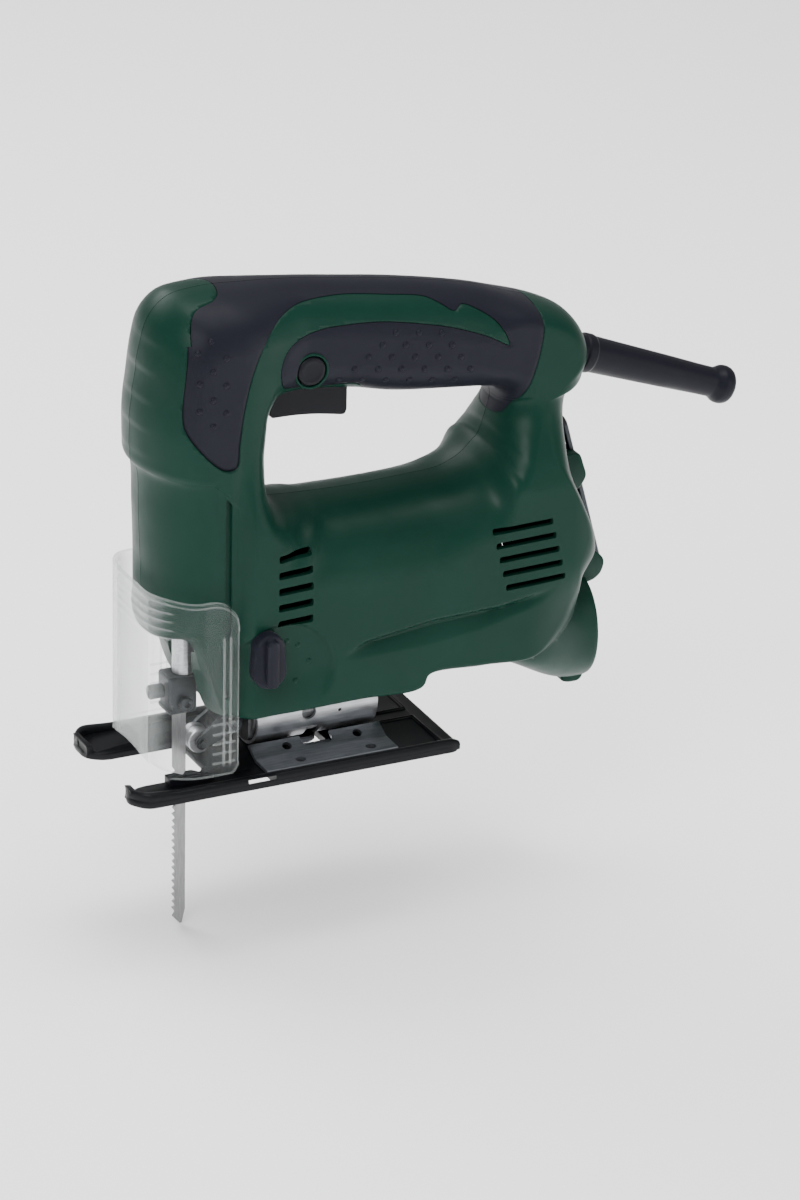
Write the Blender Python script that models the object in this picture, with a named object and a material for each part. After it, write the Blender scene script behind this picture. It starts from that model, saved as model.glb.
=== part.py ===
"""Corded jigsaw with a D handle, modelled as separate pieces on their joint axes.

Frame: +Z up, forward is -X, the lock button and selector are on the -Y side. The origin is on
the sole of the base, on its centre line, below the middle of the handle. Coordinates in this file are in
millimetres and are scaled by MM when a mesh is made.
"""

import math

import bpy
import bmesh
from mathutils import Matrix, Vector

MM = 0.001
GAP = 0.3  # between pieces that touch

# Blade and plunger
ROD_X, ROD_R, ROD_LOW, ROD_HIGH = -38.0, 4.5, 40.0, 128.0
BLADE_X, BLADE_WIDTH, BLADE_THICK = -39.8, 5.8, 1.2
BLADE_LOW, BLADE_HIGH = -72.0, 37.0

# Drive train
MOTOR_Z = 68.0
GEAR_TEETH, PINION_TEETH, MODULE = 44, 7, 1.0
GEAR_Z = MOTOR_Z + MODULE * (GEAR_TEETH + PINION_TEETH) / 2
GEAR_FRONT, GEAR_BACK = -23.0, -15.5
CRANK_THROW = 9.0
YOKE_FRONT, YOKE_BACK = -33.1, -30.1

# Base
BASE_FRONT, BASE_REAR, BASE_HALF, SHEET = -73.6, 68.5, 36.0, 3.0
NOTCH_NEAR, NOTCH_FAR, NOTCH_REAR = -20.0, 12.0, -34.5
BEVEL_Z, TROUGH_R, TROUGH_WALL = 18.0, 14.0, 1.4
TROUGH_FRONT, TROUGH_REAR = -11.5, 41.5
RAIL_TOP = 5.5

# Housing
WALL = 3.0
BODY_HALF, BARREL_HALF, HANDLE_HALF = 33.0, 28.0, 20.0
NOZZLE_Z, NOZZLE_R, NOZZLE_FRONT, NOZZLE_REAR = 27.7, 19.5, 96.0, 138.0
NOZZLE_RISE = 3.5  # the nozzle is this much taller above than below
SKIN = 1.5  # depth of the soft grip

SCREWS = [(-32, 122), (-20, 42), (74, 46), (120, 58), (106, 101), (116, 150), (50, 169)]

# Rear
CORD_EXIT, CORD_DROOP, CORD_BORE = (131.0, 151.3), math.radians(20.5), 7.8
WRENCH_TOP, WRENCH_LOW, WRENCH_R = (128.8, 121.0), (146.4, 57.3), 1.5

# Controls
LOCK_X, LOCK_Z, LOCK_R = 7.0, 168.5, 6.0
KNOB_X, KNOB_Z = -17.0, 56.0
ARM_PIVOT = (-19.0, 17.0)
ROLLER = (-31.9, 9.5)
BOLT_X = 14.0
GUIDE_PIVOT = (-47.5, 121.0)

GREEN = (0.010, 0.050, 0.033)
SOFT = (0.018, 0.020, 0.032)
BLACK = (0.012, 0.012, 0.014)
STEEL = (0.55, 0.56, 0.58)
DARK_STEEL = (0.12, 0.13, 0.15)
ALUMINIUM = (0.62, 0.63, 0.65)
BRASS = (0.65, 0.45, 0.16)
COPPER = (0.62, 0.28, 0.14)
CLEAR = (0.80, 0.85, 0.87)
CARBON = (0.05, 0.05, 0.055)

# Ribs of the housing: a point on the outer outline and its partner on the hand opening, (x, z).
# Each group starts with the rounding of its outer and inner edges.
RIB_GROUPS = [
    (9, 12, [((133.5, 155), (95, 139)), ((131.7, 163), (94.5, 141.5)), ((126, 170.5), (93.5, 143)),
             ((116, 176), (91, 144))]),
    (19, 15, [((85, 186.6), (74, 145.6)), ((54.3, 193.2), (48, 148.5)), ((5, 200.5), (10, 155)),
              ((-14, 202), (-3, 154.5))]),
    (22, 12, [((-32, 202.8), (-8, 151)), ((-46, 200.5), (-9, 147)), ((-53.5, 193.5), (-9, 143)),
              ((-57, 182.7), (-9, 139)), ((-61, 154.9), (-9, 131)),
              ((-60.8, 134.5), (-9, 125.5)), ((-58.4, 131), (-9, 124.5)),
              ((-56.6, 89.6), (-7, 114)), ((-56.2, 72), (-5, 111.5))]),
    (20, 14, [((-55.5, 61.5), (-2, 110))]),
    (10, 18, [((-46, 59.5), (2, 109.6))]),
    (4, 24, [((-41, 50), (6, 109.3)), ((-35, 31), (12, 109))]),
    (13, 30, [((-32, 26.5), (16, 108.8)), ((-10, 25.5), (28, 108.5)),
              ((52, 25.5), (56, 109)), ((55, 30.5), (60, 109.2)), ((80, 30.5), (72, 110)),
              ((105, 30.5), (82, 114))]),
    (14, 14, [((128, 31), (88, 119.5)), ((136.5, 42), (90, 122.5)), ((139.3, 60), (91.5, 125.5)),
              ((137, 74), (92.5, 128)), ((125, 104), (94, 133)), ((123.7, 122), (94.5, 135)),
              ((127.2, 140.7), (95, 137.3)), ((132, 143.2), (95, 138)), ((133.8, 148), (95, 138.5))]),
]

# Outline of the soft grip on the left side, (x, z). It runs past the housing where it wraps over.
GRIP_OUTLINE = [
    (-51, 212), (-47, 201), (-49, 190), (-51, 173), (-52, 162), (-50, 154), (-39, 140.5),
    (-33, 136.5), (-27.5, 137), (-26.5, 146), (-25, 159), (-21.5, 174), (-16, 185), (-9, 191.5),
    (2, 195), (20, 195.2), (43, 192), (60, 188.7), (66, 185.5), (71, 182.5), (75, 184), (82, 181),
    (89, 176), (93.5, 166), (84, 171), (69, 177), (53, 181), (38, 184), (23, 185), (12, 185),
    (2, 183), (-4, 179), (-7, 173), (-7, 168), (-4.5, 163.5), (13, 159.5), (30, 158), (34, 152),
    (36, 140), (82, 138), (84, 136), (89, 131), (95, 133), (99, 140), (104, 150), (108, 165),
    (108.5, 178), (106, 188), (105, 212),
]


def material(name, colour, metallic, roughness, alpha=1.0):
    made = bpy.data.materials.new(name)
    made.use_nodes = True
    shader = made.node_tree.nodes["Principled BSDF"]
    shader.inputs["Base Color"].default_value = (*colour, 1.0)
    shader.inputs["Metallic"].default_value = metallic
    shader.inputs["Roughness"].default_value = roughness
    shader.inputs["Alpha"].default_value = alpha
    made.diffuse_color = (*colour, alpha)
    return made


def smoothstep(value, low, high):
    part = min(max((value - low) / (high - low), 0.0), 1.0)
    return part * part * (3 - 2 * part)


def mix(a, b, part):
    return a + (b - a) * part


def arc(centre, radius, start, end, steps):
    """Points along an arc, angles in degrees."""
    angles = [math.radians(mix(start, end, i / steps)) for i in range(steps + 1)]
    return [(centre[0] + radius * math.cos(a), centre[1] + radius * math.sin(a)) for a in angles]


def circle(centre, radius, steps):
    return arc(centre, radius, 0, 360, steps)[:-1]


def rounded(corners, radius, steps=3):
    """A closed outline with each corner replaced by a short arc-like curve."""
    points = []
    for i, corner in enumerate(corners):
        corner = Vector(corner)
        before = Vector(corners[i - 1]) - corner
        after = Vector(corners[(i + 1) % len(corners)]) - corner
        reach = min(radius, before.length / 2.1, after.length / 2.1)
        start = corner + before.normalized() * reach
        end = corner + after.normalized() * reach
        for j in range(steps + 1):
            t = j / steps
            points.append(tuple(start * (1 - t) ** 2 + corner * 2 * t * (1 - t) + end * t * t))
    return points


def rectangle(low, high):
    return [(low[0], low[1]), (high[0], low[1]), (high[0], high[1]), (low[0], high[1])]


def place(axis, across, along):
    """A 3-D point from a point across an axis and a distance along it."""
    if axis == "x":
        return (along, across[0], across[1])
    if axis == "y":
        return (across[0], along, across[1])
    return (across[0], across[1], along)


def prism(outline, axis, low, high):
    """Vertices and faces of an outline extruded along an axis."""
    count = len(outline)
    verts = [place(axis, p, low) for p in outline] + [place(axis, p, high) for p in outline]
    faces = [tuple(range(count)), tuple(range(2 * count - 1, count - 1, -1))]
    faces += [(i, (i + 1) % count, (i + 1) % count + count, i + count) for i in range(count)]
    return verts, faces


def box(low, high):
    return prism(rectangle(low[:2], high[:2]), "z", low[2], high[2])


def turned(profile, axis, centre, steps=16, ring=False):
    """A profile of (radius, along) turned about an axis. A ring's profile is a closed loop."""
    verts, rows = [], []
    for radius, along in profile:
        if radius == 0:
            rows.append([len(verts)])
            verts.append(place(axis, centre, along))
        else:
            rows.append(list(range(len(verts), len(verts) + steps)))
            verts += [place(axis, p, along) for p in circle(centre, radius, steps)]
    pairs = list(zip(rows, rows[1:]))
    if ring:
        pairs.append((rows[-1], rows[0]))
    faces = []
    for first, second in pairs:
        for i in range(steps):
            j = (i + 1) % steps
            quad = [first[i % len(first)], first[j % len(first)],
                    second[j % len(second)], second[i % len(second)]]
            faces.append(tuple(dict.fromkeys(quad)))
    if not ring:
        for row, flip in ((rows[0], False), (rows[-1], True)):
            if len(row) > 1:
                faces.append(tuple(reversed(row)) if flip else tuple(row))
    return verts, faces


def rod(radius, low, high, axis, centre, steps=16):
    return prism(circle(centre, radius, steps), axis, low, high)


def tube(outer, inner, low, high, axis, centre, steps=18):
    loop = [(outer, low), (outer, high), (inner, high), (inner, low)]
    return turned(loop, axis, centre, steps, ring=True)


def merged(*shapes):
    verts, faces = [], []
    for shape_verts, shape_faces in shapes:
        start = len(verts)
        verts += shape_verts
        faces += [tuple(i + start for i in face) for face in shape_faces]
    return verts, faces


def solid(name, shape, finish, pivot=(0, 0, 0), smooth=True):
    """An object from a shape in millimetres, with its origin at the pivot."""
    verts, faces = shape
    pivot = Vector(pivot)
    mesh = bpy.data.meshes.new(name)
    mesh.from_pydata([(Vector(v) - pivot) * MM for v in verts], [], faces)
    work = bmesh.new()
    work.from_mesh(mesh)
    bmesh.ops.recalc_face_normals(work, faces=work.faces)
    work.to_mesh(mesh)
    work.free()
    obj = bpy.data.objects.new(name, mesh)
    obj.location = pivot * MM
    bpy.context.scene.collection.objects.link(obj)
    mesh.materials.append(finish)
    if smooth:
        mesh.shade_smooth()
        mesh.set_sharp_from_angle(angle=math.radians(35))
    return obj


def helper(name, shape):
    obj = solid(name, shape, CUTTER, smooth=False)
    obj.hide_render = True
    obj.display_type = "WIRE"
    return obj


def boolean(obj, other, operation, solver="EXACT"):
    """Adds a Boolean, applies it and removes the other object."""
    step = obj.modifiers.new(operation.title(), "BOOLEAN")
    step.object = other
    step.operation = operation
    step.solver = solver
    bpy.context.view_layer.update()
    graph = bpy.context.evaluated_depsgraph_get()
    shaped = bpy.data.meshes.new_from_object(obj.evaluated_get(graph))
    obj.modifiers.clear()
    old = obj.data
    obj.data = shaped
    bpy.data.meshes.remove(old)
    bpy.data.objects.remove(other)
    return obj


def cut(obj, shape):
    return boolean(obj, helper(obj.name + "_cutter", shape), "DIFFERENCE")


def join(obj, shape):
    return boolean(obj, helper(obj.name + "_addition", shape), "UNION")


# Housing ----------------------------------------------------------------------------------


def half_width(x, z):
    """Half of the housing's width at a place on its side, before its edges are rounded."""
    lower = mix(BARREL_HALF, BODY_HALF, smoothstep(x, -26, -20))
    lower = mix(lower, BODY_HALF - 5, smoothstep(x, 118, 140))
    upper = mix(BARREL_HALF + 0.8, HANDLE_HALF, smoothstep(x, -26, 8))
    return mix(lower, upper, smoothstep(z, 106, 140))


def ribs():
    """Every rib as (outer point, inner point, outer rounding, inner rounding)."""
    found = []
    for outer_round, inner_round, pairs in RIB_GROUPS:
        found += [(Vector(o), Vector(i), outer_round, inner_round) for o, i in pairs]
    return found


def rib_points(outer, inner, outer_round, inner_round, depth, middle):
    """Half of a rib's section, from the hand opening to the outer outline, as (x, y, z).

    Its ends lie at the distance called middle from the parting plane."""
    run = outer - inner
    length = run.length
    run.normalize()
    outer_round = min(outer_round, length * 0.48)
    inner_round = min(inner_round, length * 0.48)
    quarter = [math.radians(a) for a in (0, 30, 60, 90)]
    places = [(inner_round * (1 - math.cos(a)), math.sin(a)) for a in quarter]
    places += [(mix(inner_round, length - outer_round, t), 1.0) for t in (0.34, 0.67)]
    places += [(length - outer_round * (1 - math.cos(a)), math.sin(a)) for a in reversed(quarter)]
    points = []
    for along, share in places:
        flat = inner + run * (depth + along * (length - 2 * depth) / length)
        full = half_width(*(inner + run * along)) - depth
        points.append((flat.x, middle + (full - middle) * share, flat.y))
    return points


def ring_layer(side, outside, inside, middle=GAP / 2):
    """One side's layer of the ring between two depths below its surface."""
    rows = []
    for outer, inner, outer_round, inner_round in ribs():
        skin = rib_points(outer, inner, outer_round, inner_round, outside, middle)
        back = rib_points(outer, inner, outer_round, inner_round, inside, middle)
        rows.append(skin + back[::-1])
    verts = [(x, side * y, z) for row in rows for x, y, z in row]
    width = len(rows[0])
    faces = []
    for k in range(len(rows)):
        following = (k + 1) % len(rows)
        for j in range(width):
            beside = (j + 1) % width
            near, far = k * width, following * width
            faces.append((near + j, near + beside, far + beside))
            faces.append((near + j, far + beside, far + j))
    return verts, faces


def slot_shape(start, end, half_height, side, depth):
    """A long slot with round ends, cut in along Y from outside."""
    start, end = Vector(start), Vector(end)
    angle = math.degrees(math.atan2(end.y - start.y, end.x - start.x))
    outline = arc(start, half_height, angle + 90, angle + 270, 2)
    outline += arc(end, half_height, angle - 90, angle + 90, 2)
    low, high = sorted((side * (BODY_HALF - depth), side * (BODY_HALF + 6)))
    return prism(outline, "y", low, high)


def vent_slots(side):
    slots = []
    for row in range(5):
        z = 96.5 - 6.95 * row
        slots.append(slot_shape((-9.5, z), (1.5, z + 0.4), 1.5, side, 9))
        drift = 1.6 * row
        z = 92.5 - 6.25 * row
        slots.append(slot_shape((84 + drift, z), (106 + drift, z + 0.4), 1.3, side, 9))
    return merged(*slots)


def screw_wells():
    """The holes on the right side that the screws go in by."""
    wells = []
    for x, z in SCREWS:
        wall = half_width(x, z)
        wells.append(turned([(0, wall - 10), (1.9, wall - 10), (1.9, wall - 2.4),
                             (3.5, wall - 2.4), (3.5, wall + 9), (0, wall + 9)],
                            "y", (x, z), 10))
    return merged(*wells)


def housing_half(name, side, finish):
    half = solid(name, ring_layer(side, 0, WALL), finish)
    low, high = sorted((side * GAP / 2, side * 60))
    stretch = 1 + NOZZLE_RISE / NOZZLE_R
    oval = [(y, NOZZLE_Z + NOZZLE_RISE + z * stretch) for y, z in circle((0, 0), NOZZLE_R, 24)]
    nozzle = helper(name + "_nozzle", prism(oval, "x", NOZZLE_FRONT, NOZZLE_REAR))
    boolean(nozzle, helper("side_block", box((0, low, 0), (200, high, 60))), "INTERSECT")
    boolean(half, nozzle, "UNION")
    clip = rounded([(120, 108), (134, 107.5), (137, 97.5), (134, 92.5), (124, 92)], 1.5)
    hook = rounded([(128, 64), (142, 64), (147, 58.5), (144, 52.5), (132, 51)], 2)
    reach = sorted((side * GAP / 2, side * 6))
    join(half, prism(clip, "y", *reach))
    join(half, prism(hook, "y", *reach))
    cut(half, rod(NOZZLE_R - WALL, NOZZLE_FRONT + 4, NOZZLE_REAR + 5, "x", (0, NOZZLE_Z), 24))
    mouth = [(-39.5, 21), (-45, 18.5), (-49, 12), (-50.5, 5)]
    mouth += [(x, -y) for x, y in reversed(mouth)]
    cut(half, prism(mouth, "z", 40, 66))
    cut(half, box((-52, -11.5, 20), (-28.5, 11.5, 60)))
    cut(half, box((TROUGH_FRONT - 2.8, -14.9, 15), (TROUGH_REAR + 1.5, 14.9, 34)))
    cut(half, vent_slots(side))
    cut(half, box((-5.5, -8.5, 148), (31, 8.5, 161)))
    cut(half, wrench_cutter())
    cut(half, cord_bore())
    if side < 0:
        cut(half, rod(LOCK_R + 0.4, -40, -8, "y", (LOCK_X, LOCK_Z), 20))
        cut(half, rod(4.3, -40, -20, "y", (KNOB_X, KNOB_Z), 20))
    else:
        cut(half, screw_wells())
    return half


def grip_half(name, side, finish):
    """The soft layer over one half of the shell."""
    low, high = sorted((side * 0, side * 60))
    pad = solid(name, ring_layer(side, 0, SKIN), finish)
    outline = prism(GRIP_OUTLINE, "y", low, high)
    boolean(pad, helper(name + "_outline", outline), "INTERSECT")
    return pad


def grip_recess(half, side):
    """Sinks the shell where the soft grip lies on it."""
    low, high = sorted((side * -1, side * 60))
    layer = helper("grip_layer", ring_layer(side, -2, SKIN + GAP, middle=-1))
    grown = prism(offset_outline(GRIP_OUTLINE, GAP), "y", low, high)
    boolean(layer, helper("grip_outline", grown), "INTERSECT")
    boolean(half, layer, "DIFFERENCE", "MANIFOLD")


def offset_outline(outline, distance):
    """A closed outline moved outwards, corner by corner."""
    area = sum(a[0] * b[1] - b[0] * a[1] for a, b in zip(outline, outline[1:] + outline[:1]))
    turn = math.copysign(1, area)
    moved = []
    for i, point in enumerate(outline):
        before = (Vector(point) - Vector(outline[i - 1])).normalized()
        after = (Vector(outline[(i + 1) % len(outline)]) - Vector(point)).normalized()
        normal = Vector((before.y + after.y, -before.x - after.x)).normalized() * turn
        stretch = max(normal.dot(Vector((after.y, -after.x)) * turn), 0.5)
        moved.append(tuple(Vector(point) + normal * distance / stretch))
    return moved


# Rear: cord guard and hex wrench ----------------------------------------------------------

def along_cord(shape):
    """Turns a shape made along +X so that it leaves the housing with the cord's droop."""
    verts, faces = shape
    turn = Matrix.Rotation(CORD_DROOP, 3, "Y")
    start = Vector((CORD_EXIT[0], 0, CORD_EXIT[1]))
    return [tuple(start + turn @ Vector(v)) for v in verts], faces


def cord_bore():
    return along_cord(rod(CORD_BORE, -14, 14, "x", (0, 0), 16))


def cord_guard(finish):
    loop = [(9.0, -8.5), (9.0, -6), (7.4, -5.5), (7.4, 4.5), (8.0, 5.0), (8.0, 8), (7.2, 30),
            (6.0, 70), (7.6, 71.5), (8.0, 74), (7.6, 76.5), (6.4, 77.8), (3.4, 77.8), (3.4, -8.5)]
    solid("cord_guard", along_cord(turned(loop, "x", (0, 0), 18, ring=True)), finish)
    solid("cord_stub", along_cord(rod(3.1, -8.5, 77.2, "x", (0, 0), 16)), finish)


def wrench_x(z):
    return mix(WRENCH_TOP[0], WRENCH_LOW[0],
               (z - WRENCH_TOP[1]) / (WRENCH_LOW[1] - WRENCH_TOP[1]))


def wrench_cutter():
    """The slot that opens the clip and the hook to the rear."""
    floor, ceiling, room = WRENCH_LOW[1] - 0.6, 112.0, WRENCH_R + 0.4
    outline = [(wrench_x(ceiling) - room, ceiling), (165, ceiling), (165, floor),
               (wrench_x(floor) - room, floor)]
    return prism(outline, "y", -room, room)


def hex_wrench(finish):
    """An L-shaped key: long arm down the back, short arm across to the right."""
    low = Vector((WRENCH_LOW[0], 0, WRENCH_LOW[1]))
    top = Vector((WRENCH_TOP[0], 0, WRENCH_TOP[1]))
    path = [low, top]
    down = (low - top).normalized()
    bend = 3.0
    path[1] = top + down * bend
    for angle in (30, 60, 90):
        a = math.radians(angle)
        path.append(top + down * bend * (1 - math.sin(a)) + Vector((0, bend * (1 - math.cos(a)), 0)))
    path.append(top + Vector((0, 15, 0)))
    side = Vector((0, 1, 0)).cross(down).normalized()
    verts, faces = [], []
    for i, point in enumerate(path):
        ahead = (path[min(i + 1, len(path) - 1)] - path[max(i - 1, 0)]).normalized()
        lift = side.cross(ahead).normalized()
        for j in range(6):
            a = math.radians(60 * j)
            verts.append(tuple(point + (side * math.cos(a) + lift * math.sin(a)) * WRENCH_R))
    for i in range(len(path) - 1):
        for j in range(6):
            k = (j + 1) % 6
            faces.append((i * 6 + j, i * 6 + k, i * 6 + 6 + k, i * 6 + 6 + j))
    faces.append(tuple(range(5, -1, -1)))
    faces.append(tuple(range(len(path) * 6 - 6, len(path) * 6)))
    solid("hex_wrench", (verts, faces), finish, pivot=low)


# Motor ------------------------------------------------------------------------------------


def gear_outline(centre, teeth, root, tip, phase, widths):
    """A closed outline of straight-flanked teeth. Widths are at the root and tip."""
    points = []
    for i in range(teeth):
        middle = math.radians(phase + 360 * i / teeth)
        flank = [(root, widths[0]), (tip, widths[1])]
        for radius, width in flank:
            a = middle - width / 2 / radius
            points.append((centre[0] + radius * math.cos(a), centre[1] + radius * math.sin(a)))
        for radius, width in reversed(flank):
            a = middle + width / 2 / radius
            points.append((centre[0] + radius * math.cos(a), centre[1] + radius * math.sin(a)))
    return points


def drive_gear(finish):
    centre = (0, GEAR_Z)
    pitch = MODULE * GEAR_TEETH / 2
    gap_down = -90 + 180 / GEAR_TEETH
    outline = gear_outline(centre, GEAR_TEETH, pitch - 1.1, pitch + 0.7, gap_down, (1.5, 0.7))
    gear = solid("drive_gear", prism(outline, "x", GEAR_FRONT, GEAR_BACK), finish,
                 pivot=(GEAR_FRONT, 0, GEAR_Z))
    cut(gear, rod(5.0, GEAR_FRONT - 2, GEAR_BACK + 2, "x", centre, 16))
    cut(gear, rod(2.8, GEAR_FRONT - 2, GEAR_BACK + 2, "x", (CRANK_THROW, GEAR_Z), 14))
    cut(gear, tube(18.5, 12.8, GEAR_BACK - 2.5, GEAR_BACK + 2, "x", centre, 28))


def pinion(finish):
    pitch = MODULE * PINION_TEETH / 2
    outline = gear_outline((0, MOTOR_Z), PINION_TEETH, pitch - 1.1, pitch + 0.7, 90, (1.4, 0.6))
    solid("pinion", prism(outline, "x", -24, -14.3), finish, pivot=(-24, 0, MOTOR_Z))


def armature(steel, copper, plastic):
    centre = (0, MOTOR_Z)
    pivot = (0, 0, MOTOR_Z)
    solid("armature_shaft", rod(4.0, -14, 97, "x", centre, 16), steel, pivot=pivot)
    slots = 12
    outline = []
    for i in range(slots):
        middle = 360 * i / slots
        outline += arc(centre, 16.0, middle - 11, middle + 11, 2)
        outline += arc(centre, 11.0, middle + 11, middle + 19, 1)
    core = solid("armature_core", prism(outline, "x", 27, 61), steel, pivot=pivot)
    cut(core, rod(4.3, 20, 70, "x", centre, 16))
    loop = [(15.3, 20.6), (15.3, 26.4), (4.6, 26.4), (4.6, 20)]
    winding = solid("armature_winding", turned(loop, "x", centre, 16, ring=True), copper,
                    pivot=pivot)
    loop = [(15.3, 61.6), (15.3, 67.4), (4.6, 68), (4.6, 61.6)]
    bars = [turned(loop, "x", centre, 16, ring=True)]
    for i in range(slots):
        verts, faces = box((22, -0.8, 11.7), (66, 0.8, 14.6))
        turn = Matrix.Rotation(math.radians(30 * i + 15), 3, "X")
        bars.append(([tuple(turn @ Vector(v) + Vector(pivot)) for v in verts], faces))
    for bar in bars[1:] + bars[:1]:
        join(winding, bar)
    solid("commutator", tube(11.0, 4.3, 70, 84, "x", centre), copper, pivot=pivot)
    loop = [(24, 10.5), (24, 12), (7.5, 13), (4.3, 13), (4.3, 0), (7.0, 0), (7.5, 9)]
    fan = solid("cooling_fan", turned(loop, "x", centre, 18, ring=True), plastic, pivot=pivot)
    blades = []
    for i in range(9):
        verts, faces = box((1.5, -0.7, 6.6), (10.8, 0.7, 23))
        turn = Matrix.Rotation(math.radians(40 * i), 3, "X")
        blades.append(([tuple(turn @ Vector(v) + Vector(pivot)) for v in verts], faces))
    join(fan, merged(*blades))


def field(steel, copper):
    centre = (0, MOTOR_Z)
    core = solid("stator_core", rod(28, 24, 64, "x", centre, 24), steel)
    bore = []
    for middle in (90, 270):
        bore += arc(centre, 24, middle - 34, middle + 34, 5)
        bore += arc(centre, 17, middle + 34, middle + 146, 7)
    cut(core, prism(bore, "x", 20, 70))
    for name, middle in (("field_coil_upper", 90), ("field_coil_lower", 270)):
        coil = arc(centre, 23.6, middle - 32, middle + 32, 6)
        coil += arc(centre, 17.6, middle + 30, middle - 30, 6)
        solid(name, prism(coil, "x", 19, 69), copper)


def brushes(brass, carbon):
    for name, side in (("left", -1), ("right", 1)):
        low, high = sorted((side * 12.2, side * 25.5))
        holder = solid("brush_holder_" + name, box((71.8, low, 62), (82.2, high, 74)), brass,
                       smooth=False)
        low, high = sorted((side * 8, side * 30))
        cut(holder, box((73.6, low, 63.8), (80.4, high, 72.2)))
        low, high = sorted((side * 11.4, side * 22))
        solid("carbon_brush_" + name, box((73.9, low, 64.1), (80.1, high, 71.9)), carbon,
              smooth=False)


def gear_case(aluminium):
    """A cross wall with the front bearing's seat, cast in one with the round foot for the base."""
    wall = [(-10, 9), (10, 9), (10, 44), (22, 49), (22, 98), (16, 103), (-16, 103), (-22, 98),
            (-22, 49), (-10, 44)]
    case = solid("gear_case", prism(rounded(wall, 2), "x", -13.8, -11.5), aluminium)
    join(case, tube(14.5, 11.3, -12, -3.7, "x", (0, MOTOR_Z), 18))
    foot_r = TROUGH_R - TROUGH_WALL - GAP
    join(case, rod(foot_r, -12.5, 40, "x", (0, BEVEL_Z), 24))
    cut(case, rod(6, -16, -8, "x", (0, MOTOR_Z)))
    cut(case, rod(4.9, -16, -8, "x", (0, GEAR_Z)))
    cut(case, rod(3.1, 0, 34, "z", (BOLT_X, 0)))


def bearings(steel):
    centre = (0, MOTOR_Z)
    solid("front_bearing", tube(11.0, 4.3, -11.1, -4.1, "x", centre), steel)
    solid("rear_bearing", tube(9.5, 4.3, 89.5, 95.5, "x", centre), steel)
    solid("gear_axle", turned([(0, -24.8), (4.6, -24.8), (4.6, -11.2), (7, -11.2), (7, -9.4),
                               (0, -9.4)], "x", (0, GEAR_Z), 20), steel)


# Plunger, blade and orbital drive ---------------------------------------------------------


def plunger(steel, dark):
    solid("plunger_rod", rod(ROD_R, ROD_LOW, ROD_HIGH, "z", (ROD_X, 0), 16), steel,
          pivot=(ROD_X, 0, ROD_LOW))
    plate = rounded(rectangle((-14, GEAR_Z - 6.5), (14, GEAR_Z + 6.5)), 3)
    yoke = solid("scotch_yoke", prism(plate, "x", YOKE_FRONT, YOKE_BACK), dark,
                 pivot=(ROD_X, 0, GEAR_Z))
    join(yoke, rod(6.8, GEAR_Z - 5, GEAR_Z + 5, "z", (ROD_X, 0), 16))
    cut(yoke, rod(ROD_R + GAP, GEAR_Z - 9, GEAR_Z + 9, "z", (ROD_X, 0), 16))
    slot = rounded(rectangle((-12, GEAR_Z - 2.9), (12, GEAR_Z + 2.9)), 2.8)
    cut(yoke, prism(slot, "x", YOKE_FRONT - 0.2, YOKE_BACK + 2))
    solid("crank_pin", rod(2.5, YOKE_BACK + GAP, -16.2, "x", (CRANK_THROW, GEAR_Z), 14), steel,
          pivot=(GEAR_FRONT, 0, GEAR_Z))


def blade_parts(steel, dark):
    """Clamp block, its two screws and the blade, which hang from the plunger."""
    centre = (ROD_X, 0, ROD_LOW)
    block = rounded([(-46.5, -6), (-34.3, -6), (-34.3, 6), (-46.5, 6)], 1.5)
    clamp = solid("blade_clamp", prism(block, "z", 24, ROD_LOW - GAP), dark, pivot=centre)
    half = BLADE_WIDTH / 2 + GAP
    cut(clamp, box((BLADE_X - half, -0.95, 20), (BLADE_X + half, 0.95, BLADE_HIGH + GAP)))
    solid("clamp_screw_front",
          turned([(0, -53), (2.6, -53), (3.0, -52.4), (3.0, -48.2), (2.2, -46.8), (0, -46.8)],
                 "x", (0, 33), 16), steel, pivot=centre)
    solid("clamp_screw_side",
          turned([(0, -9.4), (2.6, -9.4), (2.9, -8.9), (2.9, -6.3), (0, -6.3)], "y",
                 (-40, 29), 16), steel, pivot=centre)
    front, back = BLADE_X - BLADE_WIDTH / 2, BLADE_X + BLADE_WIDTH / 2
    pitch, depth, teeth = 3.0, 1.3, 22
    outline = [(back, BLADE_HIGH), (front, BLADE_HIGH)]
    for i in range(teeth):
        z = -1.5 - pitch * i
        outline += [(front, z), (front + depth, z - pitch * 0.75)]
    outline += [(front + 0.4, -68.5), (back - 2.4, BLADE_LOW), (back - 1.4, BLADE_LOW),
                (back, -66)]
    solid("saw_blade", prism(outline, "y", -BLADE_THICK / 2, BLADE_THICK / 2), steel,
          pivot=centre, smooth=False)


def guide(aluminium, steel):
    """The frame that carries the plunger and swings with it."""
    pivot = (GUIDE_PIVOT[0], 0, GUIDE_PIVOT[1])
    frame = solid("guide_frame", box((-50, -9, 67), (-46, 9, 126)), aluminium, pivot=pivot)
    join(frame, box((-46.5, -9, 67.5), (-32, 9, 75)))
    join(frame, box((-46.5, -9, 115), (-32, 9, 125.5)))
    cut(frame, rod(ROD_R + GAP, 50, 135, "z", (ROD_X, 0), 16))
    cut(frame, rod(2.3, -12, 12, "y", GUIDE_PIVOT, 16))
    solid("guide_pin", rod(2.0, -15, 15, "y", GUIDE_PIVOT, 16), steel)


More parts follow.
